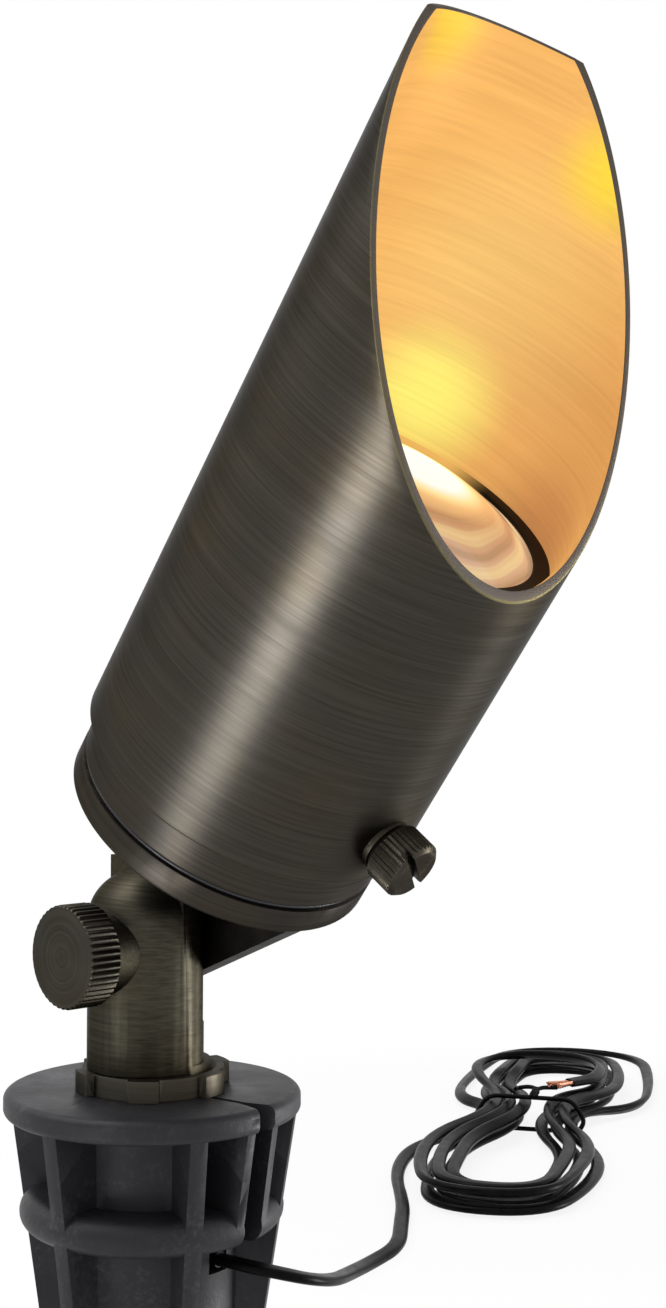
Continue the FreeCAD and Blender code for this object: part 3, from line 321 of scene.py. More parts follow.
@dataclass(frozen=True)
class AgedBrass(Finish):
    """Dark aged brass, brushed in fine rings round its lathe's line, with faint warm clouds in the patina."""

    lathe: Lathe
    colour: Triple = linear(62, 59, 54)
    warm: Triple = linear(72, 61, 41)
    roughness: float = 0.40
    rings: float = 2300.0
    depth_mm: float = 0.009
    contrast: float = 0.20
    stretch: float = 0.6

    def lay(self, sheet: NodeSheet) -> None:
        """Streaks and raises the brass in fine rings, shades it in broad ones, and warms it in clouds.

        Args:
            sheet: The material's nodes.
        """
        fine = sheet.noise(sheet.ringed(self.lathe, self.rings, 45.0), 1.0, 3.0, 0.6)
        broad = sheet.noise(sheet.ringed(self.lathe, self.rings / 8, 16.0), 1.0)
        cloud = sheet.noise(sheet.place(), 55.0, 3.0)
        body = sheet.mix(sheet.ranged(cloud, 0.45, 0.75, 0.0, 0.4), self.colour, self.warm)
        slight = self.contrast / 4
        streak = sheet.figure("ADD", sheet.varied(fine, -self.contrast, self.contrast),
                              sheet.varied(broad, 1.0 - slight, 1.0 + slight))
        sheet.settle(Base_Color=sheet.shaded(body, streak), Metallic=1.0, Anisotropic=self.stretch,
                     Roughness=sheet.varied(broad, self.roughness - 0.03, self.roughness + 0.04),
                     Specular_Tint=(0.45, 0.45, 0.45))
        sheet.brush(self.lathe)
        sheet.bump(fine, self.depth_mm)


@dataclass(frozen=True)
class PaintedLampLightBrass(Finish):
    """The shroud's inner wall with the lamp's light painted on it as a glow: brushed gold, brightest by the
    lens and at the far rim.
    """

    name: str = "painted_light_inner_wall"
    body: Triple = linear(84, 60, 34)
    gold: Triple = linear(246, 184, 102)
    middle: Triple = linear(249, 201, 117)
    painted_shade: Triple = linear(196, 132, 78)
    bright: Triple = linear(255, 243, 120)
    painted_rim_glow: Triple = linear(255, 224, 48)
    lit_from: Pair = (0.070, 0.078)
    level: float = 0.95

    def lay(self, sheet: NodeSheet) -> None:
        """Lays patches of painted highlight and painted shade over the painted gold glow, each with a place,
        a fade, a share and a colour, and streaks them.

        Args:
            sheet: The material's nodes.
        """
        rings = sheet.noise(sheet.ringed(Lathe.HEAD, 1500.0, 40.0), 1.0, 3.0, 0.6)
        soft = sheet.noise(sheet.ringed(Lathe.HEAD, 160.0, 18.0), 1.0)
        # The emission is painted lamp light: the middle, bright and far-rim patches are painted highlights,
        # and the two darker patches are painted shade.
        colour = self.gold
        for spot, fade, share, tint in (((132.0, -18.5, 21.9), (4.0, 34.0), 1.0, self.middle),
                                        ((118.0, 14.0, 24.0), (8.0, 52.0), 0.5, self.painted_shade),
                                        ((101.0, 9.0, 27.0), (3.0, 18.0), 0.95, self.painted_shade),
                                        ((110.0, -21.5, 19.0), (2.0, 17.0), 1.0, self.bright),
                                        ((158.5, -12.6, 25.8), (2.0, 13.0), 0.8, self.painted_rim_glow),
                                        ((170.0, -27.0, -9.0), (2.0, 12.0), 0.6, self.painted_rim_glow)):
            colour = sheet.mix(sheet.times(sheet.glow(spot, fade), share), colour, tint)
        # Lower down the wall the painted light fades to black.
        reached = sheet.ranged(sheet.about(Lathe.HEAD)[1], *self.lit_from, 0.0, 1.0)
        colour = sheet.mix(reached, BLACK, colour)
        streak = sheet.figure("ADD", sheet.varied(rings, -0.06, 0.06), sheet.varied(soft, 0.95, 1.03))
        sheet.settle(Base_Color=sheet.shaded(self.body, streak), Emission_Color=sheet.shaded(colour, streak),
                     Emission_Strength=self.level, Metallic=1.0, Roughness=0.5, Specular_Tint=(0.3, 0.3, 0.3))
        sheet.bump(rings, 0.01)


@dataclass(frozen=True)
class PaintedLampLightSilicone(Finish):
    """The lens gasket's black silicone, with the lamp's gold light painted over it on its bright side."""

    name: str = "gasket_silicone"
    dark: Triple = linear(5, 4, 5)
    painted_light: Triple = linear(244, 186, 98)
    level: float = 0.9

    def lay(self, sheet: NodeSheet) -> None:
        """Mottles the black, and paints the lamp's light on it round one place.

        Args:
            sheet: The material's nodes.
        """
        mottle = sheet.noise(sheet.place(), 500.0)
        # A painted pool of the lamp's light, given as emission.
        light = sheet.mix(sheet.glow((101.0, -20.0, 18.0), (8.0, 18.0)), BLACK, self.painted_light)
        sheet.settle(Base_Color=sheet.shaded(self.dark, sheet.varied(mottle, 0.88, 1.12)),
                     Emission_Color=light, Emission_Strength=self.level, Roughness=0.6,
                     Specular_IOR_Level=0.15)
        sheet.bump(mottle, 0.01, 0.5)


@dataclass(frozen=True)
class PaintedGlowLensGlass(Finish):
    """The lamp seen through its domed lens, painted on the glass as a glow: a white painted hot spot at one
    side, and peach bands of painted light that curl round it.
    """

    name: str = "painted_glow_lens_glass"
    body: Triple = linear(64, 46, 34)
    white: Triple = linear(255, 253, 246)
    cream: Triple = linear(253, 228, 160)
    orange: Triple = linear(240, 186, 122)
    tan: Triple = linear(198, 146, 102)
    peach: Triple = linear(212, 170, 134)
    line: Triple = linear(128, 84, 56)
    level: float = 0.95

    def lay(self, sheet: NodeSheet) -> None:
        """Colours the painted glow by the distance from its hot spot, with bands at the crests or dips of a
        bent distance's sine.

        Args:
            sheet: The material's nodes.
        """
        where = sheet.place()
        bend = sheet.add("TexNoise", Vector=where, Scale=48.0, Detail=1.0).outputs["Color"]
        bent = sheet.vector("MULTIPLY_ADD", bend, (0.006, 0.006, 0.006), where)
        reach = sheet.vector("DISTANCE", bent, Lathe.HEAD.spot(104.0, -2.0, 4.0))
        waves, ripples = (sheet.figure("SINE", sheet.times(reach, rate)) for rate in (1250.0, 3900.0))
        away = sheet.vector("DISTANCE", where, Lathe.HEAD.spot(106.0, -3.0, 5.0))
        fade = sheet.ranged(away, 0.012, 0.020, 0.0, 0.5)
        # The whole emission is painted light: a white painted hot spot fading through cream and orange to tan
        # and peach.
        colour = sheet.ramp(sheet.ranged(away, 0.0, 0.040, 0.0, 1.0), (0.0, self.white), (0.19, self.white),
                            (0.26, self.cream), (0.31, self.orange), (0.40, self.tan), (0.60, self.peach),
                            (1.0, self.tan))
        # The bands are painted light too: cream crests, fine ripples and dark lines.
        for wave, crest, power, share, tint in ((waves, 0.0, 4.0, 1.0, self.cream),
                                                (ripples, 1.0, 5.0, 0.5, self.cream),
                                                (waves, 1.0, 7.0, 1.0, self.line)):
            bands = sheet.figure("POWER", sheet.ranged(wave, -1.0, 1.0, 1.0 - crest, crest), power)
            colour = sheet.mix(sheet.times(sheet.times(bands, fade), share), colour, tint)
        sheet.settle(Base_Color=self.body, Emission_Color=colour, Emission_Strength=self.level,
                     Roughness=0.08, Specular_IOR_Level=0.25, IOR=1.5)


@dataclass(frozen=True)
class MouldedPlastic(Finish):
    """Black glass-filled plastic as it leaves the mould: a fine dull grain, worn paler in patches."""

    name: str = "moulded_stake_plastic"
    colour: Triple = linear(37, 37, 41)
    worn: Triple = linear(62, 60, 66)
    roughness: float = 0.5

    def lay(self, sheet: NodeSheet) -> None:
        """Wears the grain's tops where a broad cloud is thick, and varies the shade and shine by the cloud.

        Args:
            sheet: The material's nodes.
        """
        where = sheet.place()
        grain = sheet.noise(where, 900.0, 4.0, 0.65)
        cloud = sheet.noise(where, 75.0, 4.0, 0.6)
        tops, thick = sheet.ranged(grain, 0.50, 0.66, 0.0, 0.9), sheet.ranged(cloud, 0.46, 0.64, 0.12, 1.0)
        colour = sheet.mix(sheet.times(tops, thick), self.colour, self.worn)
        shade = sheet.shaded(colour, sheet.varied(cloud, 0.86, 1.12))
        sheet.settle(Base_Color=shade, Specular_IOR_Level=0.3,
                     Roughness=sheet.varied(cloud, self.roughness + 0.08, self.roughness - 0.08))
        sheet.bump(grain, 0.12, 0.7)


@dataclass(frozen=True)
class CordJacket(Finish):
    """Black vinyl cord jacket with a soft shine and a faint scuffed grain."""

    name: str = "cord_jacket_vinyl"
    colour: Triple = linear(10, 10, 12)
    rubbed: Triple = linear(20, 20, 22)
    roughness: float = 0.30

    def lay(self, sheet: NodeSheet) -> None:
        """Rubs the vinyl paler and duller in scuffs, over a fine grain.

        Args:
            sheet: The material's nodes.
        """
        where = sheet.place()
        scuff = sheet.noise(where, 420.0, 3.0)
        sheet.settle(Base_Color=sheet.ramp(scuff, (0.35, self.colour), (0.78, self.rubbed)),
                     Roughness=sheet.varied(scuff, self.roughness - 0.04, self.roughness + 0.08),
                     Specular_IOR_Level=0.05)
        sheet.bump(sheet.noise(where, 1800.0), 0.015, 0.5)


@dataclass(frozen=True)
class PlainFinish(Finish):
    """A small or hidden piece's finish: one colour with a slight mottle."""

    colour: Triple
    metallic: float = 0.0
    roughness: float = 0.5
    glow: float = 0.0
    mottle: float = 0.12
    grain: float = 500.0

    def lay(self, sheet: NodeSheet) -> None:
        """Mottles the colour, and lets it glow where the piece is lit.

        Args:
            sheet: The material's nodes.
        """
        value = sheet.noise(sheet.place(), self.grain)
        mottled = sheet.shaded(self.colour, sheet.varied(value, 1.0 - self.mottle, 1.0 + self.mottle))
        sheet.settle(Base_Color=mottled, Metallic=self.metallic, Roughness=self.roughness)
        if self.glow:
            sheet.settle(Emission_Color=self.colour, Emission_Strength=self.glow)
        sheet.bump(value, 0.01, 0.5)


# ---- frames and surfaces ---------------------------------------------------------------------------------
@dataclass(frozen=True)
class HeadFrame:
    """The head's own frame: how far its axis leans towards +X, and the height of its pivot."""

    tilt_deg: float = 38.0
    pivot: float = 68.15

    def leaned(self, points: np.ndarray, degrees: float) -> np.ndarray:
        """Turns points about the Y axis.

        Args:
            points: Any array of x, y, z.
            degrees: The angle t, from +Z towards +X.

        Returns:
            The points with x' = x cos t + z sin t, and z' = z cos t - x sin t.
        """
        cos, sin = math.cos(math.radians(degrees)), math.sin(math.radians(degrees))
        x, y, z = np.moveaxis(points, -1, 0)
        return np.stack([x * cos + z * sin, y, z * cos - x * sin], axis=-1)

    def place(self, points: np.ndarray) -> np.ndarray:
        """Carries points of the head's frame, where the light shines along +Z, into the row frame."""
        return self.leaned(points, self.tilt_deg) + (0.0, 0.0, self.pivot)

    def unplace(self, points: np.ndarray) -> np.ndarray:
        """Carries points of the row frame back into the head's."""
        return self.leaned(points - (0.0, 0.0, self.pivot), -self.tilt_deg)


def around(count: int) -> np.ndarray:
    """Angles spread evenly round a circle."""
    return np.linspace(0.0, 2 * np.pi, count, endpoint=False)


def turned(radius: np.ndarray, height: np.ndarray, columns: int) -> np.ndarray:
    """Carries a profile round the Z axis: point (i, j) is (r cos a, r sin a, z) at a = 2 pi j / n.

    Args:
        radius: Rows x 1, or rows x columns where it changes round the axis.
        height: The same.
        columns: Points in each ring.

    Returns:
        Rows x columns x 3.
    """
    angle = around(columns)
    return np.stack([radius * np.cos(angle), radius * np.sin(angle), height + 0 * angle], axis=-1)


def ring(radius: float, count: int) -> np.ndarray:
    """A round outline: count points r (cos a, sin a)."""
    return radius * np.stack([np.cos(around(count)), np.sin(around(count))], axis=-1)


def swept(path: np.ndarray, outline: np.ndarray, across: Triple,
          roll: float | np.ndarray = 0.0) -> np.ndarray:
    """Carries a closed outline along a line, and closes both ends to a point.

    Args:
        path: Points of the line.
        outline: Offsets sideways and up, count x 2.
        across: A direction that the line never follows.
        roll: How far the outline turns about the line, in radians, or that for each point.

    Returns:
        Rows x count x 3: ring = P + x side + y lift, where side = across x ahead and lift = ahead x side, and
        both turn with the roll.
    """
    ahead = np.gradient(path, axis=0)
    ahead /= np.linalg.norm(ahead, axis=1, keepdims=True)
    side = np.cross(across, ahead)
    side /= np.linalg.norm(side, axis=1, keepdims=True)
    lift = np.cross(ahead, side)
    turn = np.broadcast_to(roll, len(path))[:, None]
    side, lift = side * np.cos(turn) + lift * np.sin(turn), lift * np.cos(turn) - side * np.sin(turn)
    rings = path[:, None] + outline[:, 0:1] * side[:, None] + outline[:, 1:2] * lift[:, None]
    first, last = (np.repeat(end[:, None], len(outline), axis=1) for end in (path[:1], path[-1:]))
    return np.concatenate([first, rings, last])


def curves(start: np.ndarray, bend: np.ndarray, end: np.ndarray, t: np.ndarray) -> np.ndarray:
    """Curves that leave one place for a second and end at a third: (1-t)^2 A + 2t(1-t) P + t^2 B."""
    t = t[None, :, None]
    return (1 - t) ** 2 * start[:, None] + 2 * t * (1 - t) * bend[:, None] + t ** 2 * end[:, None]


def flowing(points: np.ndarray, steps: int = 6) -> np.ndarray:
    """Draws a smooth line from the first point to the last that bends towards each of the others.

    Args:
        points: Three or more places.
        steps: Points in each bend.

    Returns:
        Points of the line. Each bend is a curve from the middle of one run to the middle of the next.
    """
    middle = (points[1:] + points[:-1]) / 2
    bends = curves(middle[:-1], points[1:-1], middle[1:], np.linspace(0.0, 1.0, steps, endpoint=False))
    return np.concatenate([points[:1], bends.reshape(-1, 3), middle[-1:], points[-1:]])


def eased(corners: Iterable[Pair], radius: float, steps: int) -> np.ndarray:
    """Rounds the corners of a closed outline.

    Args:
        corners: Its corners, in order.
        radius: How far from a corner its curve starts, at most 0.45 of either side.
        steps: Points in each curve.

    Returns:
        Points of the outline. Each corner is a curve between places on its two sides.
    """
    points = np.array(corners, dtype=float)
    ways = [np.roll(points, shift, axis=0) - points for shift in (1, -1)]
    runs = [np.linalg.norm(way, axis=1, keepdims=True) for way in ways]
    cut = np.minimum(radius, 0.45 * np.minimum(*runs))
    start, end = (points + way / run * cut for way, run in zip(ways, runs))
    return curves(start, points, end, np.linspace(0.0, 1.0, steps)).reshape(-1, 2)


def grid_quads(rows: int, columns: int, close_rows: bool, close_columns: bool) -> np.ndarray:
    """Numbers the faces of a grid of points.

    Args:
        rows: How many rows it has.
        columns: How many columns it has.
        close_rows: Whether the last row joins the first.
        close_columns: Whether the last column joins the first.

    Returns:
        Faces x 4: each joins point (i, j) to its neighbours at i + 1 and j + 1.
    """
    i = np.arange(rows if close_rows else rows - 1)
    j = np.arange(columns if close_columns else columns - 1)
    a, b = np.meshgrid(i, j, indexing="ij")
    next_a, next_b = (a + 1) % rows, (b + 1) % columns
    corners = [a * columns + b, next_a * columns + b, next_a * columns + next_b, a * columns + next_b]
    return np.stack(corners, axis=-1).reshape(-1, 4)


def added(name: str, data: bpy.types.ID) -> bpy.types.Object:
    """Puts a new object into the scene.

    Args:
        name: Its name.
        data: Its mesh, curve, lamp or camera.

    Returns:
        The object.
    """
    thing = bpy.data.objects.new(name, data)
    bpy.context.scene.collection.objects.link(thing)
    return thing


def tidy(piece: bpy.types.Object, sharp_deg: float, outwards: bool = True) -> None:
    """Merges doubled points, turns faces outwards and shades the piece smooth between sharp edges.

    Args:
        piece: The piece.
        sharp_deg: Edges that bend by more than this stay sharp.
        outwards: False for a solid's mesh, whose faces already point the right way.
    """
    work = bmesh.new()
    work.from_mesh(piece.data)
    bmesh.ops.remove_doubles(work, verts=work.verts, dist=MERGE_WITHIN)
    bmesh.ops.dissolve_degenerate(work, edges=work.edges, dist=SHORTEST_EDGE)
    if outwards:
        bmesh.ops.recalc_face_normals(work, faces=work.faces)
    work.to_mesh(piece.data)
    work.free()
    piece.data.polygons.foreach_set("use_smooth", np.ones(len(piece.data.polygons), dtype=bool))
    piece.data.set_sharp_from_angle(angle=math.radians(sharp_deg))


def surface(name: str, *grids: np.ndarray, close_rows: bool = False, close_columns: bool = True,
            sharp_deg: float = 35.0) -> bpy.types.Object:
    """Makes a piece from one or more grids of points.

    Args:
        name: The piece's name.
        grids: Each is rows x columns x 3.
        close_rows: Whether a grid's last row joins its first.
        close_columns: Whether its last column joins its first.
        sharp_deg: Edges that bend by more than this stay sharp.

    Returns:
        The object, with doubled points merged and its faces outwards.
    """
    starts = np.cumsum([0] + [grid.shape[0] * grid.shape[1] for grid in grids])
    faces = [grid_quads(*grid.shape[:2], close_rows, close_columns) + start
             for grid, start in zip(grids, starts)]
    points = np.concatenate([grid.reshape(-1, 3) for grid in grids]) * MM
    mesh = bpy.data.meshes.new(name)
    mesh.from_pydata(points.tolist(), [], np.concatenate(faces).tolist())
    piece = added(name, mesh)
    tidy(piece, sharp_deg)
    return piece


def dress(piece: bpy.types.Object, body: str, finish: Finish, *nodes: str) -> None:
    """Gives a piece its finish, makes it ride on its body, and lets it stand for its solids.

    Args:
        piece: The piece.
        body: The body that it rides on.
        finish: Its finish.
        nodes: The solids that it stands for.
    """
    piece.data.materials.clear()
    piece.data.materials.append(finish.material())
    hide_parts(*nodes)
    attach(piece, body)
    LOG.info("%s rides on %s", piece.name, body)


# ---- sub-assemblies --------------------------------------------------------------------------------------
class ShroudSlot(IntEnum):
    """The shroud's finishes, by material slot."""

    OUTSIDE = 0
    PAINTED_LIGHT_WALL = 1
    CUT_RIM = 2
    WORN_EDGE_HIGHLIGHT = 3


@dataclass
class GlareShroud:
    """The tubular shroud with its slanting mouth, in the head's frame."""

    head: HeadFrame = field(default_factory=HeadFrame)
    outer_r: float = 30.5
    inner_r: float = 28.7
    lower: float = 43.95
    tip: float = 171.2
    cut_at_axis: float = 140.8
    cut_slope: float = 1.25
    chamfer: float = 0.5
    edge: float = 0.28
    mouth_ease: float = 0.6
    columns: int = 320
    rows: int = 40

    def top(self, radius: float, angle: np.ndarray) -> np.ndarray:
        """Height of the mouth over an angle: the slanting plane c - k r cos a, stopped at the squared tip."""
        return np.minimum(self.cut_at_axis - self.cut_slope * radius * np.cos(angle), self.tip)

    def wall(self) -> np.ndarray:
        """Works out the wall as a closed section carried round the axis.

        Returns:
            Rows x columns x 3. Up and down each wall the height is low + (top - low) t, with t from 0 to 1.
            The rims are rounded by the edge, and the inner wall opens by the mouth's ease over its last step.
        """
        t = np.linspace(0.0, 1.0, self.rows)[:, None]
        mouth_r = self.inner_r + self.mouth_ease
        radii = (self.outer_r, mouth_r, self.inner_r)
        out, mouth, inside = (self.top(r, around(self.columns)) - self.edge for r in radii)
        rise = (out - mouth) / (self.outer_r - mouth_r)
        lip = np.array([(0.08, 0.62), (0.3, 0.9), (0.6, 1.0)]) * self.edge
        low, foot = self.lower, self.lower + self.chamfer
        rings = [(self.inner_r + 0.1, low + 0.1), (self.outer_r - self.chamfer, low),
                 (self.outer_r - 0.12, low + 0.75 * self.chamfer), (self.outer_r, foot),
                 (self.outer_r, foot + 0.2 + (out - foot - 0.2) * t)]
        rings += [(self.outer_r - inset, out - rise * inset + lift) for inset, lift in lip]
        rings += [(mouth_r + inset, mouth + rise * inset + lift) for inset, lift in lip[::-1]]
        rings += [(mouth_r, mouth), (self.inner_r, inside + (low + 0.3 - inside) * t[1:])]
        grids = [np.broadcast_arrays(np.full((1, self.columns), r), np.atleast_2d(z)) for r, z in rings]
        return turned(*(np.concatenate(parts) for parts in zip(*grids)), self.columns)

    def slots(self, centres: np.ndarray) -> np.ndarray:
        """Picks each face's finish by where its centre is: inner wall with painted lamp light, cut rim, or an
        edge worn bright and painted lighter as an edge highlight.

        Args:
            centres: Centres of the faces, in the head's frame.

        Returns:
            The faces' slots. A face is on the rim where it lies within the rounded edge below the mouth.
        """
        radius = np.hypot(centres[:, 0], centres[:, 1])
        plane = self.cut_at_axis - self.cut_slope * centres[:, 0]
        depth = np.minimum(plane, self.tip) - centres[:, 2]
        rim = depth < 1.02 * self.edge
        wall = radius < self.inner_r + 0.06
        slots = np.full(len(centres), ShroudSlot.OUTSIDE, dtype=np.int32)
        slots[wall | (radius < self.inner_r + 0.75 * self.mouth_ease) & ~rim] = ShroudSlot.PAINTED_LIGHT_WALL
        slots[rim & ~wall & (radius < self.outer_r - 0.02)] = ShroudSlot.CUT_RIM
        slots[rim & ~wall & (radius > self.outer_r - 0.2)] = ShroudSlot.WORN_EDGE_HIGHLIGHT
        # The foot's chamfer gets the same worn brass with a painted edge highlight.
        foot = (centres[:, 2] < self.lower + self.chamfer) & (radius > self.outer_r - 0.45)
        slots[foot] = ShroudSlot.WORN_EDGE_HIGHLIGHT
        return slots

    def build(self) -> None:
        """Makes the shroud and gives each part of it its finish."""
        piece = surface("glare_shroud", self.head.place(self.wall()), close_rows=True, sharp_deg=40.0)
        dress(piece, "hood", AgedBrass("aged_brass_shroud", Lathe.HEAD), "shroud")
        cut = AgedBrass("cut_rim_brass", Lathe.HEAD, linear(88, 82, 77), linear(94, 83, 68), 0.5,
                        contrast=0.06, depth_mm=0.0015, stretch=0.2)
        # Edges painted lighter, partly as worn brass and partly as a painted edge highlight.
        worn = replace(cut, name="worn_edge_highlight_brass", colour=linear(100, 94, 70), warm=linear(110, 94, 58),
                       contrast=0.1)
        for finish in (PaintedLampLightBrass(), cut, worn):
            piece.data.materials.append(finish.material())
        centres = np.zeros(len(piece.data.polygons) * 3)
        piece.data.polygons.foreach_get("center", centres)
        slots = self.slots(self.head.unplace(centres.reshape(-1, 3) / MM))
        piece.data.polygons.foreach_set("material_index", slots)


@dataclass
class TiltKnob:
    """The knurled knob that locks the tilt, and its shank through the knuckle."""

    radius: float = 9.4
    height: float = 6.5
    ridges: int = 44
    ridge_depth: float = 0.42
    rim: float = 0.5
    shank_r: float = 2.5

    def points(self, shank: float) -> np.ndarray:
        """Works out the knob along +Z, with its shank below 0.

        Args:
            shank: How long the shank is.

        Returns:
            Rows x columns x 3. The radius is R - d (1 - |cos(n a / 2)|) k, where k is 1 down the knurled side
            and falls to 0 over both rims.
        """
        columns = self.ridges * 8
        groove = 1.0 - np.abs(np.cos(self.ridges * around(columns) / 2))
        r, top, e, inner = self.radius, self.height, self.rim, self.shank_r
        lower = [(r - 1.7 * e, 0.0, 0.0), (r - 0.8 * e, 0.06 * e, 0.1), (r - 0.25 * e, 0.45 * e, 0.7),
                 (r, e, 1.0)]
        upper = [(radius, top - height, share) for radius, height, share in lower[::-1]]
        profile = [(0.0, -shank, 0.0), (inner - 0.3, -shank, 0.0), (inner, 0.3 - shank, 0.0),
                   (inner, 0.0, 0.0), *lower, (r, top / 2, 1.0), *upper, (r / 2, top, 0.0), (0.0, top, 0.0)]
        radius, height, share = np.array(profile).T[:, :, None]
        return turned(radius - self.ridge_depth * groove * share, height, columns)

    def build(self) -> None:
        """Lays the knob along -Y at the pivot, where its solid is."""
        low, high = (np.array(corner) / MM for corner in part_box("tilt_knob"))
        x, z, y = np.moveaxis(self.points(high[1] - low[1] - self.height), -1, 0)
        placed = np.stack([x, low[1] + self.height - y, (low[2] + high[2]) / 2 + z], axis=-1)
        dress(surface("tilt_knob_knurled", placed, sharp_deg=30.0), "knob",
              AgedBrass("aged_brass_knob", Lathe.KNOB, linear(64, 62, 57)), "tilt_knob")


@dataclass(frozen=True)
class EasedSolid:
    """A solid that is shown with its edges rounded by a width in millimetres."""

    node: str
    body: str
    edge_mm: float
    finish: Finish
    sharp_deg: float = 28.0

    def build(self) -> None:
        """Copies the solid's mesh, merges its points, rounds its edges and dresses it."""
        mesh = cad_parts[self.node].data.copy()
        mesh.name = self.node + "_eased"
        piece = added(self.node + "_eased", mesh)
        tidy(piece, self.sharp_deg, outwards=False)
        rounding = piece.modifiers.new("eased_edges", "BEVEL")
        rounding.width = self.edge_mm * MM
        rounding.segments = 2
        rounding.limit_method = "ANGLE"
        rounding.angle_limit = math.radians(self.sharp_deg)
        rounding.harden_normals = True
        dress(piece, self.body, self.finish, self.node)


def stand(thing: bpy.types.Object, place: Vector, axes: tuple[Vector | Triple, ...]) -> None:
    """Sets a camera or lamp at a place, with its own three axes along these directions."""
    thing.matrix_world = Matrix.Translation(place) @ Matrix(axes).transposed().to_4x4()


@dataclass(frozen=True)
class SoftLamp:
    """A soft oblong lamp, in metres and watts, that looks at a point with its long side along a direction."""

    name: str
    place: Triple
    size: Pair
    power: float
    along: Triple = UP
    aim: Triple = (0.06, 0.0, 0.14)
    spread_deg: float = 180.0

    def hang(self) -> None:
        """Hangs the lamp."""
        data = bpy.data.lights.new(self.name, "AREA")
        data.shape = "RECTANGLE"
        data.size, data.size_y = self.size
        data.energy = self.power
        data.spread = math.radians(self.spread_deg)
        lamp = added(self.name, data)
        out = (Vector(self.place) - Vector(self.aim)).normalized()
        side = Vector(self.along).cross(out).normalized()
        stand(lamp, Vector(self.place), (side, out.cross(side), out))
        lamp.visible_camera = False


@dataclass(frozen=True)
class PaleSheet:
    """A pale square under the object, which is lost in the white round it further out.

    It is seen round its middle, and fades out between two distances from there, in metres. Near the middle
    it hides what is under it by its cover, and shows the light and shadow on it by its shadow.
    """

    name: str
    height: float
    half: float
    cover: float
    shadow: float
    middle: Pair
    fade: Pair

    def lay(self) -> None:
        """Lays the sheet under the object."""
        h, z = self.half, self.height
        corners = np.array([[[-h, -h, z], [h, -h, z]], [[-h, h, z], [h, h, z]]])
        floor = surface(self.name, corners, close_columns=False)
        sheet = NodeSheet(bpy.data.materials.new(self.name + "_white"))
        sheet.settle(Base_Color=(0.9, 0.9, 0.9), Roughness=0.9, Specular_IOR_Level=0.1)
        flat = sheet.vector("MULTIPLY", sheet.place(), (1.0, 1.0, 0.0))
        near = sheet.ranged(sheet.vector("DISTANCE", flat, (*self.middle, 0.0)), *self.fade, 1.0, 0.0)
        plain = sheet.times(sheet.looked_at(), sheet.figure("SUBTRACT", 1.0, sheet.times(near, self.shadow)))
        seen = sheet.choice(plain, sheet.surface, sheet.add("Emission", Strength=1.0))
        covered = sheet.times(near, self.cover) if self.cover < 1.0 else self.cover
        whole = sheet.choice(covered, sheet.add("BsdfTransparent"), seen)
        sheet.feed([sheet.end], whole.outputs[0])
        floor.data.materials.append(sheet.owner)


@dataclass
class Studio:
    """The camera at the photograph's viewpoint, soft lamps, and a pale floor."""

    place_mm: Triple = (269.65, -214.27, 119.15)
    right: Triple = (0.69478, 0.71920, 0.00508)
    up: Triple = (0.00455, -0.01146, 0.99992)
    back: Triple = (0.71920, -0.69471, -0.01123)
    focal_px: float = 1828.02
    frame_height_px: float = 1308.0
    sensor_mm: float = 36.0
    sky: float = 0.4
    lamps: tuple[SoftLamp, ...] = (
        SoftLamp("left_key", (-0.28, -0.42, 0.85), (0.5, 0.5), 3.4),
        SoftLamp("low_strip", (0.07, -0.39, -0.06), (0.15, 0.20), 0.13, Lathe.HEAD.value[1],
                 (0.104, 0.0, 0.212), 34.0),
        SoftLamp("right_strip", (0.25, 0.40, 0.0), (0.12, 0.30), 0.26, UP, (0.0, 0.0, 0.075), 60.0),
        SoftLamp("top_soft", (-0.1, 0.1, 0.95), (0.6, 0.6), 3.0, (0.0, 1.0, 0.0)),
    )
    sheets: tuple[PaleSheet, ...] = (
        PaleSheet("tip_floor", -158.6, 2500.0, 1.0, 0.25, (-0.01, 0.07), (0.12, 0.42)),
        PaleSheet("soil_sheet", -0.15, 300.0, 0.35, 0.36, (-0.035, 0.15), (0.08, 0.15)),
    )

    def camera(self) -> None:
        """Sets the camera: lens = focal length in pixels x sensor over the frame's long side."""
        data = bpy.data.cameras.new("view_camera")
        data.sensor_width = self.sensor_mm
        data.lens = self.focal_px * self.sensor_mm / self.frame_height_px
        data.clip_start, data.clip_end = 0.01, 20.0
        camera = added("view_camera", data)
        stand(camera, Vector(self.place_mm) * MM, (self.right, self.up, self.back))
        bpy.context.scene.camera = camera

    def world(self) -> None:
        """White where the camera, gloss and glass look past the object, and dimmer as light."""
        sheet = NodeSheet(bpy.data.worlds.new("pale_studio"), "Background")
        sheet.settle(Color=WHITE, Strength=1.0)
        light = sheet.add("Background", Color=WHITE, Strength=self.sky)
        sheet.feed([sheet.end], sheet.choice(sheet.looked_at(), light, sheet.surface).outputs[0])
        bpy.context.scene.world = sheet.owner

    def build(self) -> None:
        """Sets up the camera, world, lamps and floor."""
        self.camera()
        self.world()
        for lamp in self.lamps:
            lamp.hang()
        for sheet in self.sheets:
            sheet.lay()
        bpy.context.scene.view_settings.view_transform = "Standard"


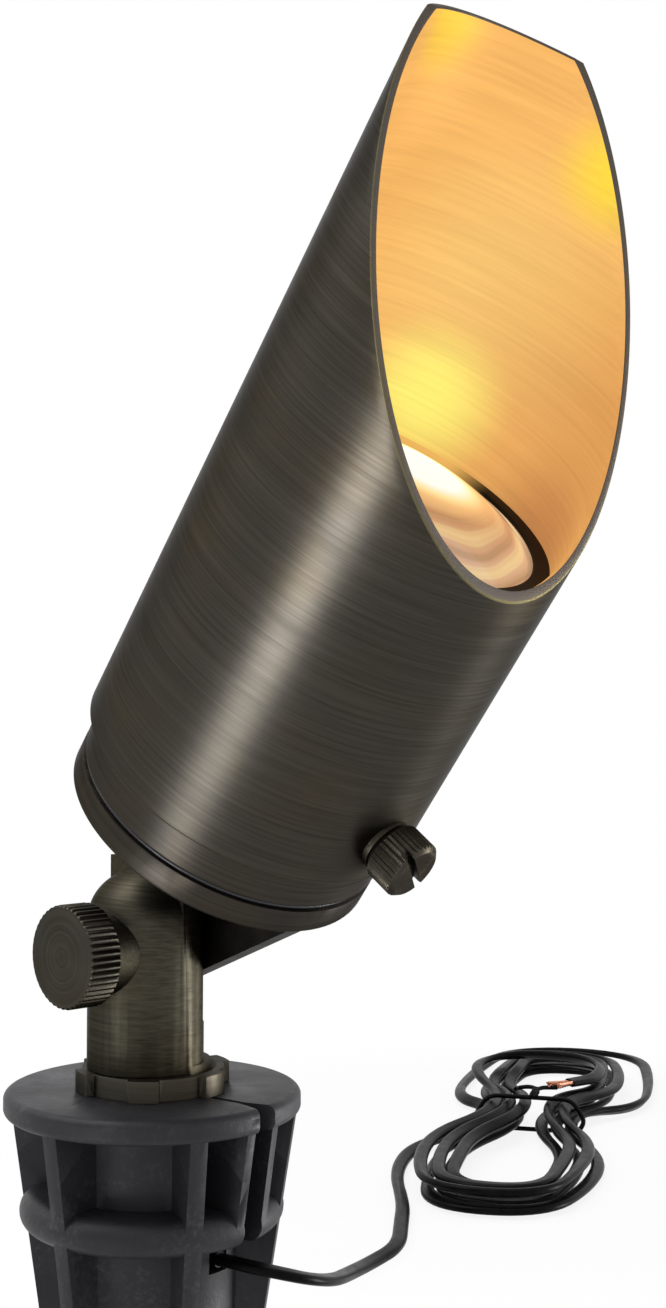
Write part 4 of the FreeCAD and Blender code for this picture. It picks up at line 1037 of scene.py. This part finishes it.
@dataclass
class SupplyCord:
    """The flat two-conductor cord: its route, its figure-8 section, the tie and the bare ends.

    The route repeats the solids' own points: the free stretch as listed, and the hank from its nested half
    turns. The hank's own frame has u along it, v across it, and the height.
    """

    width: float = 3.3
    thick: float = 2.1
    dip: float = 0.30
    dip_width: float = 0.55
    rolls: tuple[Triple, ...] = ((0.5, 47.0, 0.0), (0.35, 19.0, 1.0))
    flat_over: float = 60.0
    solid_r: float = 1.5
    least_step: float = 0.05
    slot_deg: float = 9.0
    slot_reach: Pair = (16.5, 22.5)
    slot_z: float = 13.0
    floor_z: float = 1.6
    layer: float = 3.6
    waist_lift: float = 1.4
    centre: Pair = (-38.0, 156.5)
    heading_deg: float = 122.0
    turns: int = 3
    lobe_u: float = 38.0
    tip: float = 66.0
    tip_step: float = 5.0
    lobe: float = 9.0
    lobe_step: float = 4.6
    waist: float = 0.6
    waist_step: float = 3.8
    loose_reach: float = 98.0
    loose_lobe: float = 26.0
    tail: float = 3.0
    tie_gap: float = 0.2
    wire_r: float = 0.6
    wire_pitch: float = 4.2
    strand_r: float = 0.2
    strand_pitch: float = 9.0
    splay: float = 0.003
    apart: float = 0.7
    bare: float = 8.0

    def on_hank(self, points: list | np.ndarray) -> np.ndarray:
        """Carries points of the hank's frame into the row frame.

        Args:
            points: Any array of u, v and height.

        Returns:
            The points, turned by the hank's heading and set on its centre.
        """
        u, v, height = np.moveaxis(np.array(points, dtype=float), -1, 0)
        a = math.radians(self.heading_deg)
        x = self.centre[0] + u * math.cos(a) - v * math.sin(a)
        return np.stack([x, self.centre[1] + u * math.sin(a) + v * math.cos(a), height], axis=-1)

    def level(self, layer: int) -> float:
        """Height of a layer of the hank."""
        return self.floor_z + layer * self.layer

    def wide(self, size: float) -> float:
        """How far a half turn of a size stands from the middle at its lobes."""
        return self.lobe + self.lobe_step * size

    def narrow(self, size: float) -> float:
        """How far it stands from the middle at the waist."""
        return self.waist + self.waist_step * size

    def inset(self, wide: float, narrow: float) -> float:
        """How far a side's two points stand from its lobe and waist: (u^2 + (w - n)^2) / 4u."""
        return (self.lobe_u ** 2 + (wide - narrow) ** 2) / (4 * self.lobe_u)

    def bend(self, ahead: float, across: float) -> float:
        """How far a quarter turn's two points stand from its ends: d, where 2d^2 + 2(a + b)d = a^2 + b^2."""
        total = ahead + across
        return (math.sqrt(total * total + 2 * (ahead * ahead + across * across)) - total) / 2

    def free_stretch(self) -> np.ndarray:
        """Lays the cord from the slot down to the soil and on to the hank.

        Returns:
            Points in the row frame.
        """
        s = math.radians(self.slot_deg)
        out = [[reach * math.cos(s), reach * math.sin(s), self.slot_z] for reach in self.slot_reach]
        down = [[27.0, 7.6, 11.9], [28.7, 14.0, 9.7], [25.2, 23.0, 6.7], [17.6, 34.5, 3.6],
                [11.5, 46.5, self.floor_z]]
        way_in = [[-107.8, 13.1, self.floor_z], [-92.0, 15.9, self.floor_z], [-78.0, 18.3, self.floor_z],
                  [-52.0, 26.0, self.floor_z]]
        return np.concatenate([out, down, self.on_hank(way_in)])

    def hank(self) -> list[Triple]:
        """Winds the hank: in on the lowest layer, out on the next, and the end on top.

        Returns:
            Points in the hank's frame. Each half turn has two points on either side of the waist, and each
            tip between two half turns has four.
        """
        halves = [(self.turns - 0.5 * side, 0) for side in range(2 * self.turns)]
        halves += [(0.5 + 0.5 * side, 1) for side in range(2 * self.turns - 1)]
        points: list[Triple] = []
        for side, (size, layer) in enumerate(halves):
            way = 1 if side % 2 == 0 else -1
            last = side == len(halves) - 1
            height, wide, narrow = self.level(layer), self.wide(size), self.narrow(size)
            entry = self.loose_lobe if side in (0, 1) else wide
            leave = self.loose_lobe if side == 0 else wide
            for lobe, hand in ((entry, -1), (leave, 1)):
                inset = self.inset(lobe, narrow)
                rise = self.layer if last and hand > 0 else 0.0
                pair = [(way * hand * (self.lobe_u - inset), way * lobe, height + rise),
                        (way * hand * inset, way * narrow, height + self.waist_lift)]
                points += pair[::-hand]
            if last:
                break
            next_size, next_layer = halves[side + 1]
            following = self.loose_lobe if side == 0 else self.wide(next_size)
            reach = self.loose_reach if side == 0 else self.tip + self.tip_step * (size + next_size) / 2
            out, back = self.bend(reach - self.lobe_u, leave), self.bend(reach - self.lobe_u, following)
            top = self.level(next_layer)
            climb = (top - height) / 4
            points += [(way * (self.lobe_u + out), way * leave, height),
                       (way * reach, way * out, height + climb),
                       (way * reach, -way * back, top - climb),
                       (way * (self.lobe_u + back), -way * following, top)]
        return points + self.top_end()

    def cut_end(self) -> tuple[np.ndarray, float]:
        """Finds where the cord ends, on the strand below it.

        Returns:
            A place in the hank's frame before the tie, and the angle at which the cord runs on from there.
        """
        wide, narrow = self.wide(1), self.narrow(1)
        end = (self.lobe_u / 2, -(wide + narrow) / 2, self.level(2) + self.waist_lift / 2)
        return np.array(end), 2 * math.atan((wide - narrow) / self.lobe_u)

    def top_end(self) -> list[Triple]:
        """Lays the last half turn on top, and the end that follows the strand below it to the tie.

        Returns:
            Points in the hank's frame.
        """
        left, right, height = self.wide(self.turns - 0.5), self.wide(1), self.level(2)
        half, middle = (left + right) / 2, (left - right) / 2
        knee = self.bend(half, half)
        beyond, reach = self.lobe_u + knee, self.lobe_u + half
        (u, v, z), fall = self.cut_end()
        return [(beyond, left, height), (reach, middle + knee, height), (reach, middle - knee, height),
                (beyond, -right, height), (self.lobe_u - self.inset(right, self.narrow(1)), -right, height),
                (u, v, z), (u - self.tail * math.cos(fall), v + self.tail * math.sin(fall), z + 0.2)]

    def followed(self) -> np.ndarray:
        """Makes the route's points the control points of one smooth spline, and reads that spline.

        Returns:
            Points along the cord's middle line.
        """
        route = np.concatenate([self.free_stretch(), self.on_hank(self.hank())])
        curve = bpy.data.curves.new("cord_route", "CURVE")
        curve.dimensions = "3D"
        spline = curve.splines.new("NURBS")
        spline.points.add(len(route) - 1)
        spline.points.foreach_set("co", np.c_[route * MM, np.ones(len(route))].ravel())
        spline.order_u = 3
        spline.use_endpoint_u = True
        spline.resolution_u = 10
        holder = added("cord_route", curve)
        mesh = bpy.data.meshes.new_from_object(holder)
        points = np.zeros(len(mesh.vertices) * 3)
        mesh.vertices.foreach_get("co", points)
        bpy.data.objects.remove(holder)
        points = points.reshape(-1, 3) / MM
        step = np.linalg.norm(np.diff(points, axis=0), axis=1)
        return points[np.r_[True, step > self.least_step]]

    def section(self, count: int = 16) -> np.ndarray:
        """The figure-8 section: two rounds of the cord's thickness side by side, with a shallow waist.

        Args:
            count: How many points it has.

        Returns:
            Count x 2 offsets. At angle a: across = (w - t)/2 sign(cos a)|cos a|^0.5 + (t/2) cos a, and
            up = (t/2) sin a, less a dip where across is near 0.
        """
        a = around(count) + np.pi / count
        across = (self.width - self.thick) / 2 * np.sign(np.cos(a)) * np.abs(np.cos(a)) ** 0.5
        across = across + self.thick / 2 * np.cos(a)
        up = self.thick / 2 * np.sin(a) * (1.0 - self.dip * np.exp(-(across / self.dip_width) ** 2))
        return np.stack([across, up], axis=-1)

    def jacket(self, path: np.ndarray, travelled: np.ndarray) -> bpy.types.Object:
        """Carries the section along the route, where it rolls a little to and fro.

        Args:
            path: Points of the route.
            travelled: How far along it each of them is.

        Returns:
            The cord. The roll is the sum of r sin(d / l + p) at distance d, and grows from 0 at the slot.
        """
        roll = sum(most * np.sin(travelled / run + start) for most, run, start in self.rolls)
        rings = swept(path, self.section(), UP, roll * np.clip(travelled / self.flat_over, 0.0, 1.0))
        return surface("supply_cord", rings, sharp_deg=50.0)

    def tie(self) -> bpy.types.Object:
        """The wire tie: a closed loop round the waist, its two ends twisted together on top, and their tips.

        Returns:
            The piece. The twist is two lines along u, at v = r cos(w u + p) and z = top + r sin(w u + p).
        """
        wire, crown, low = self.wire_r, 0.3, 0.65
        room = self.solid_r + self.tie_gap + wire
        left, right, inner = (self.narrow(self.turns - part) + room for part in (0, 0.5, 1))
        high = self.level(1) + self.waist_lift + room
        shoulder = self.floor_z + self.waist_lift + 0.5
        corners = [(right - crown, high), (left + 1.0, shoulder), (left - 0.6, low), (-right + 0.6, low),
                   (-right - 1.0, shoulder), (crown - inner, high)]
        loop = eased(corners, 3.0, 7)
        loop = self.on_hank(np.insert(np.concatenate([loop, loop[:1]]), 0, 0.0, axis=1))
        a = math.radians(self.heading_deg)
        grids = [swept(loop, ring(wire, 10), (math.cos(a), math.sin(a), 0.0))]
        u = np.linspace(-0.4, 6.2, 12)
        tips = [[(8.4, 1.6, high + 0.9), (9.2, 3.6, high + 0.6), (8.2, 5.4, high + 0.4),
                 (6.4, 5.6, high + 0.5)],
                [(8.6, -1.2, high + 0.8), (10.4, -2.6, high + 0.5), (12.2, -4.6, high + 0.2)]]
        for phase, tip in zip((0.0, math.pi), tips):
            turn = u * 2 * math.pi / self.wire_pitch + phase
            twist = np.stack([u, wire * np.cos(turn), high + wire + wire * np.sin(turn)], axis=-1)
            line = flowing(self.on_hank(np.concatenate([twist, tip])))
            grids.append(swept(line, ring(0.95 * wire, 8), UP))
        return surface("cord_tie_wire", *grids, sharp_deg=50.0)

    def copper(self) -> bpy.types.Object:
        """The two bare ends: in each, six strands twist round a seventh and splay a little at the tip.

        Returns:
            The piece. At distance d, strand k is (r + s d^2) (cos, sin)(w d + k pi / 3) from the middle.
        """
        end, fall = self.cut_end()
        way = np.array([-math.cos(fall), math.sin(fall), 2 * self.waist_lift / self.lobe_u])
        way /= np.linalg.norm(way)
        side = np.cross(UP, way)
        side /= np.linalg.norm(side)
        lift = np.cross(way, side)
        d = np.linspace(0.0, self.bare, 30)[:, None]
        grids = []
        for hand in (-1, 1):
            middle = end + way * (self.tail + d) + side * hand * (self.apart + d / self.bare)
            for k in range(7):
                turn = d * 2 * math.pi / self.strand_pitch + k * math.pi / 3
                reach = 0.0 if k == 6 else 2 * self.strand_r + self.splay * d ** 2
                line = middle + reach * (np.cos(turn) * side + np.sin(turn) * lift)
                line = self.on_hank(line[:len(line) - (k * 5) % 3])
                grids.append(swept(line, ring(self.strand_r, 8), UP))
        return surface("bare_copper_strands", *grids, sharp_deg=50.0)

    def build(self) -> None:
        path = self.followed()
        travelled = np.r_[0.0, np.cumsum(np.linalg.norm(np.diff(path, axis=0), axis=1))]
        cord, tie, copper = self.jacket(path, travelled), self.tie(), self.copper()
        dress(cord, "ground", CordJacket(), "cord_lead", "cord_hank")
        dress(tie, "ground", CordJacket("tie_coating", roughness=0.42), "cord_tie")
        bright = PlainFinish("bare_copper", linear(208, 146, 116), 1.0, 0.32, mottle=0.2, grain=900.0)
        dress(copper, "ground", bright, "copper_ends")


@dataclass
class LampParts:
    """The lens and its gasket, in the head's frame."""

    head: HeadFrame = field(default_factory=HeadFrame)
    shown_r: float = 25.25
    back_r: float = 24.2
    edge_r: float = 26.4
    bottom: float = 98.0
    edge_top: float = 101.0
    crown: float = 107.0
    wall: float = 3.2
    lip: tuple[Pair, ...] = ((24.7, 97.0), (28.3, 97.0), (28.3, 101.85), (25.3, 101.85), (25.3, 101.05),
                             (26.45, 101.05), (26.45, 97.95), (24.7, 97.95))

    def dome(self, foot_r: float, foot: float, crown: float, count: int = 26) -> np.ndarray:
        """Works out a dome's profile.

        Args:
            foot_r: Radius of its foot.
            foot: Height of its foot.
            crown: Height of its crown.
            count: How many points the profile has.

        Returns:
            Radius and height from foot to crown: z = c - R + sqrt(R^2 - r^2), with R = (f^2 + h^2) / 2h.
        """
        rise = crown - foot
        radius = (foot_r ** 2 + rise ** 2) / (2 * rise)
        r = foot_r * np.cos(np.linspace(0.0, np.pi / 2, count))
        return np.stack([r, crown - radius + np.sqrt(radius ** 2 - r ** 2)], axis=-1)

    def lathed(self, name: str, profile: np.ndarray, columns: int, close_rows: bool) -> bpy.types.Object:
        """Turns a profile of radius and height about the head's axis."""
        grid = turned(profile[:, 0:1], profile[:, 1:2], columns)
        return surface(name, self.head.place(grid), close_rows=close_rows)

    def build(self) -> None:
        """Makes the lens, closed by its arched back, and the gasket with its rounded lip."""
        back = self.dome(self.back_r, self.bottom, self.crown - self.wall)[::-1]
        edge = np.array([(self.edge_r, self.bottom), (self.edge_r, self.edge_top)])
        front = self.dome(self.shown_r, self.edge_top, self.crown)
        lens = self.lathed("domed_lens", np.concatenate([back, edge, front]), 128, close_rows=False)
        dress(lens, "barrel", PaintedGlowLensGlass(), "lens")
        gasket = self.lathed("lens_gasket_ring", eased(self.lip, 0.35, 5), 160, close_rows=True)
        dress(gasket, "barrel", PaintedLampLightSilicone(), "lens_gasket")


CAD_FINISHES = {
    "cap_oring": PlainFinish("seal_silicone", linear(24, 24, 30), roughness=0.35),
    "wire_grommet": PlainFinish("grommet_rubber", linear(26, 26, 27), roughness=0.7),
    "socket_bracket": PlainFinish("plated_strap", linear(170, 170, 168), metallic=1.0, roughness=0.35),
    "bracket_screws": PlainFinish("plated_screws", linear(180, 180, 178), metallic=1.0, roughness=0.3),
    "lamp_socket": PlainFinish("socket_ceramic", linear(232, 228, 218), roughness=0.4),
    "socket_screws": PlainFinish("plated_small_screws", linear(180, 180, 178), metallic=1.0, roughness=0.3),
    "socket_leads": PlainFinish("lead_silicone", linear(220, 216, 208), roughness=0.55),
    "lamp_pins": PlainFinish("bright_pins", linear(200, 200, 200), metallic=1.0, roughness=0.2),
    "lamp_base": PlainFinish("lamp_base_ceramic", linear(228, 224, 212), roughness=0.45),
    "lamp_reflector": PlainFinish("reflector_glass", linear(236, 228, 214), metallic=1.0, roughness=0.12),
    "lamp_capsule": PlainFinish("lamp_capsule_lit", linear(255, 236, 196), roughness=0.3, glow=4.0),
    "lamp_front_glass": PlainFinish("lamp_cover_glass", linear(240, 240, 238), roughness=0.08),
    "shroud_ring": PlainFinish("friction_ring_silicone", linear(26, 26, 27), roughness=0.5),
    "cord_inner": CordJacket("cord_jacket_inside"),
}

EASED_SOLIDS = (
    EasedSolid("lamp_housing", "barrel", 0.15,
               AgedBrass("aged_brass_housing", Lathe.HEAD, linear(60, 57, 53))),
    EasedSolid("rear_cap", "head", 0.18, AgedBrass("aged_brass_cap", Lathe.HEAD, linear(52, 50, 48))),
    EasedSolid("stem", "column", 0.3, AgedBrass("aged_brass_stem", Lathe.UPRIGHT, linear(65, 62, 53),
                                                roughness=0.46, contrast=0.32, stretch=0.3)),
    EasedSolid("lock_nut", "nut", 0.3, AgedBrass("aged_brass_nut", Lathe.UPRIGHT, linear(76, 73, 66))),
    EasedSolid("screw_bushing", "hood", 0.12, AgedBrass("aged_brass_bush", Lathe.SCREW, linear(72, 68, 60))),
    EasedSolid("shroud_screw", "screw", 0.12, AgedBrass("aged_brass_screw", Lathe.SCREW, linear(66, 62, 55))),
    EasedSolid("stake", "ground", 0.5, MouldedPlastic()),
)


def finish_solids() -> None:
    """Gives each solid that still shows its own finish."""
    for node, finish in CAD_FINISHES.items():
        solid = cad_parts[node]
        solid.data.materials.clear()
        solid.data.materials.append(finish.material())
        LOG.info("%s is finished", node)


def main() -> None:
    """Builds the studio, and then each sub-assembly in order."""
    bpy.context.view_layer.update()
    Studio().build()
    SupplyCord().build()
    finish_solids()
    for solid in EASED_SOLIDS:
        solid.build()
    TiltKnob().build()
    GlareShroud().build()
    LampParts().build()


if __name__ == "__main__":
    main()
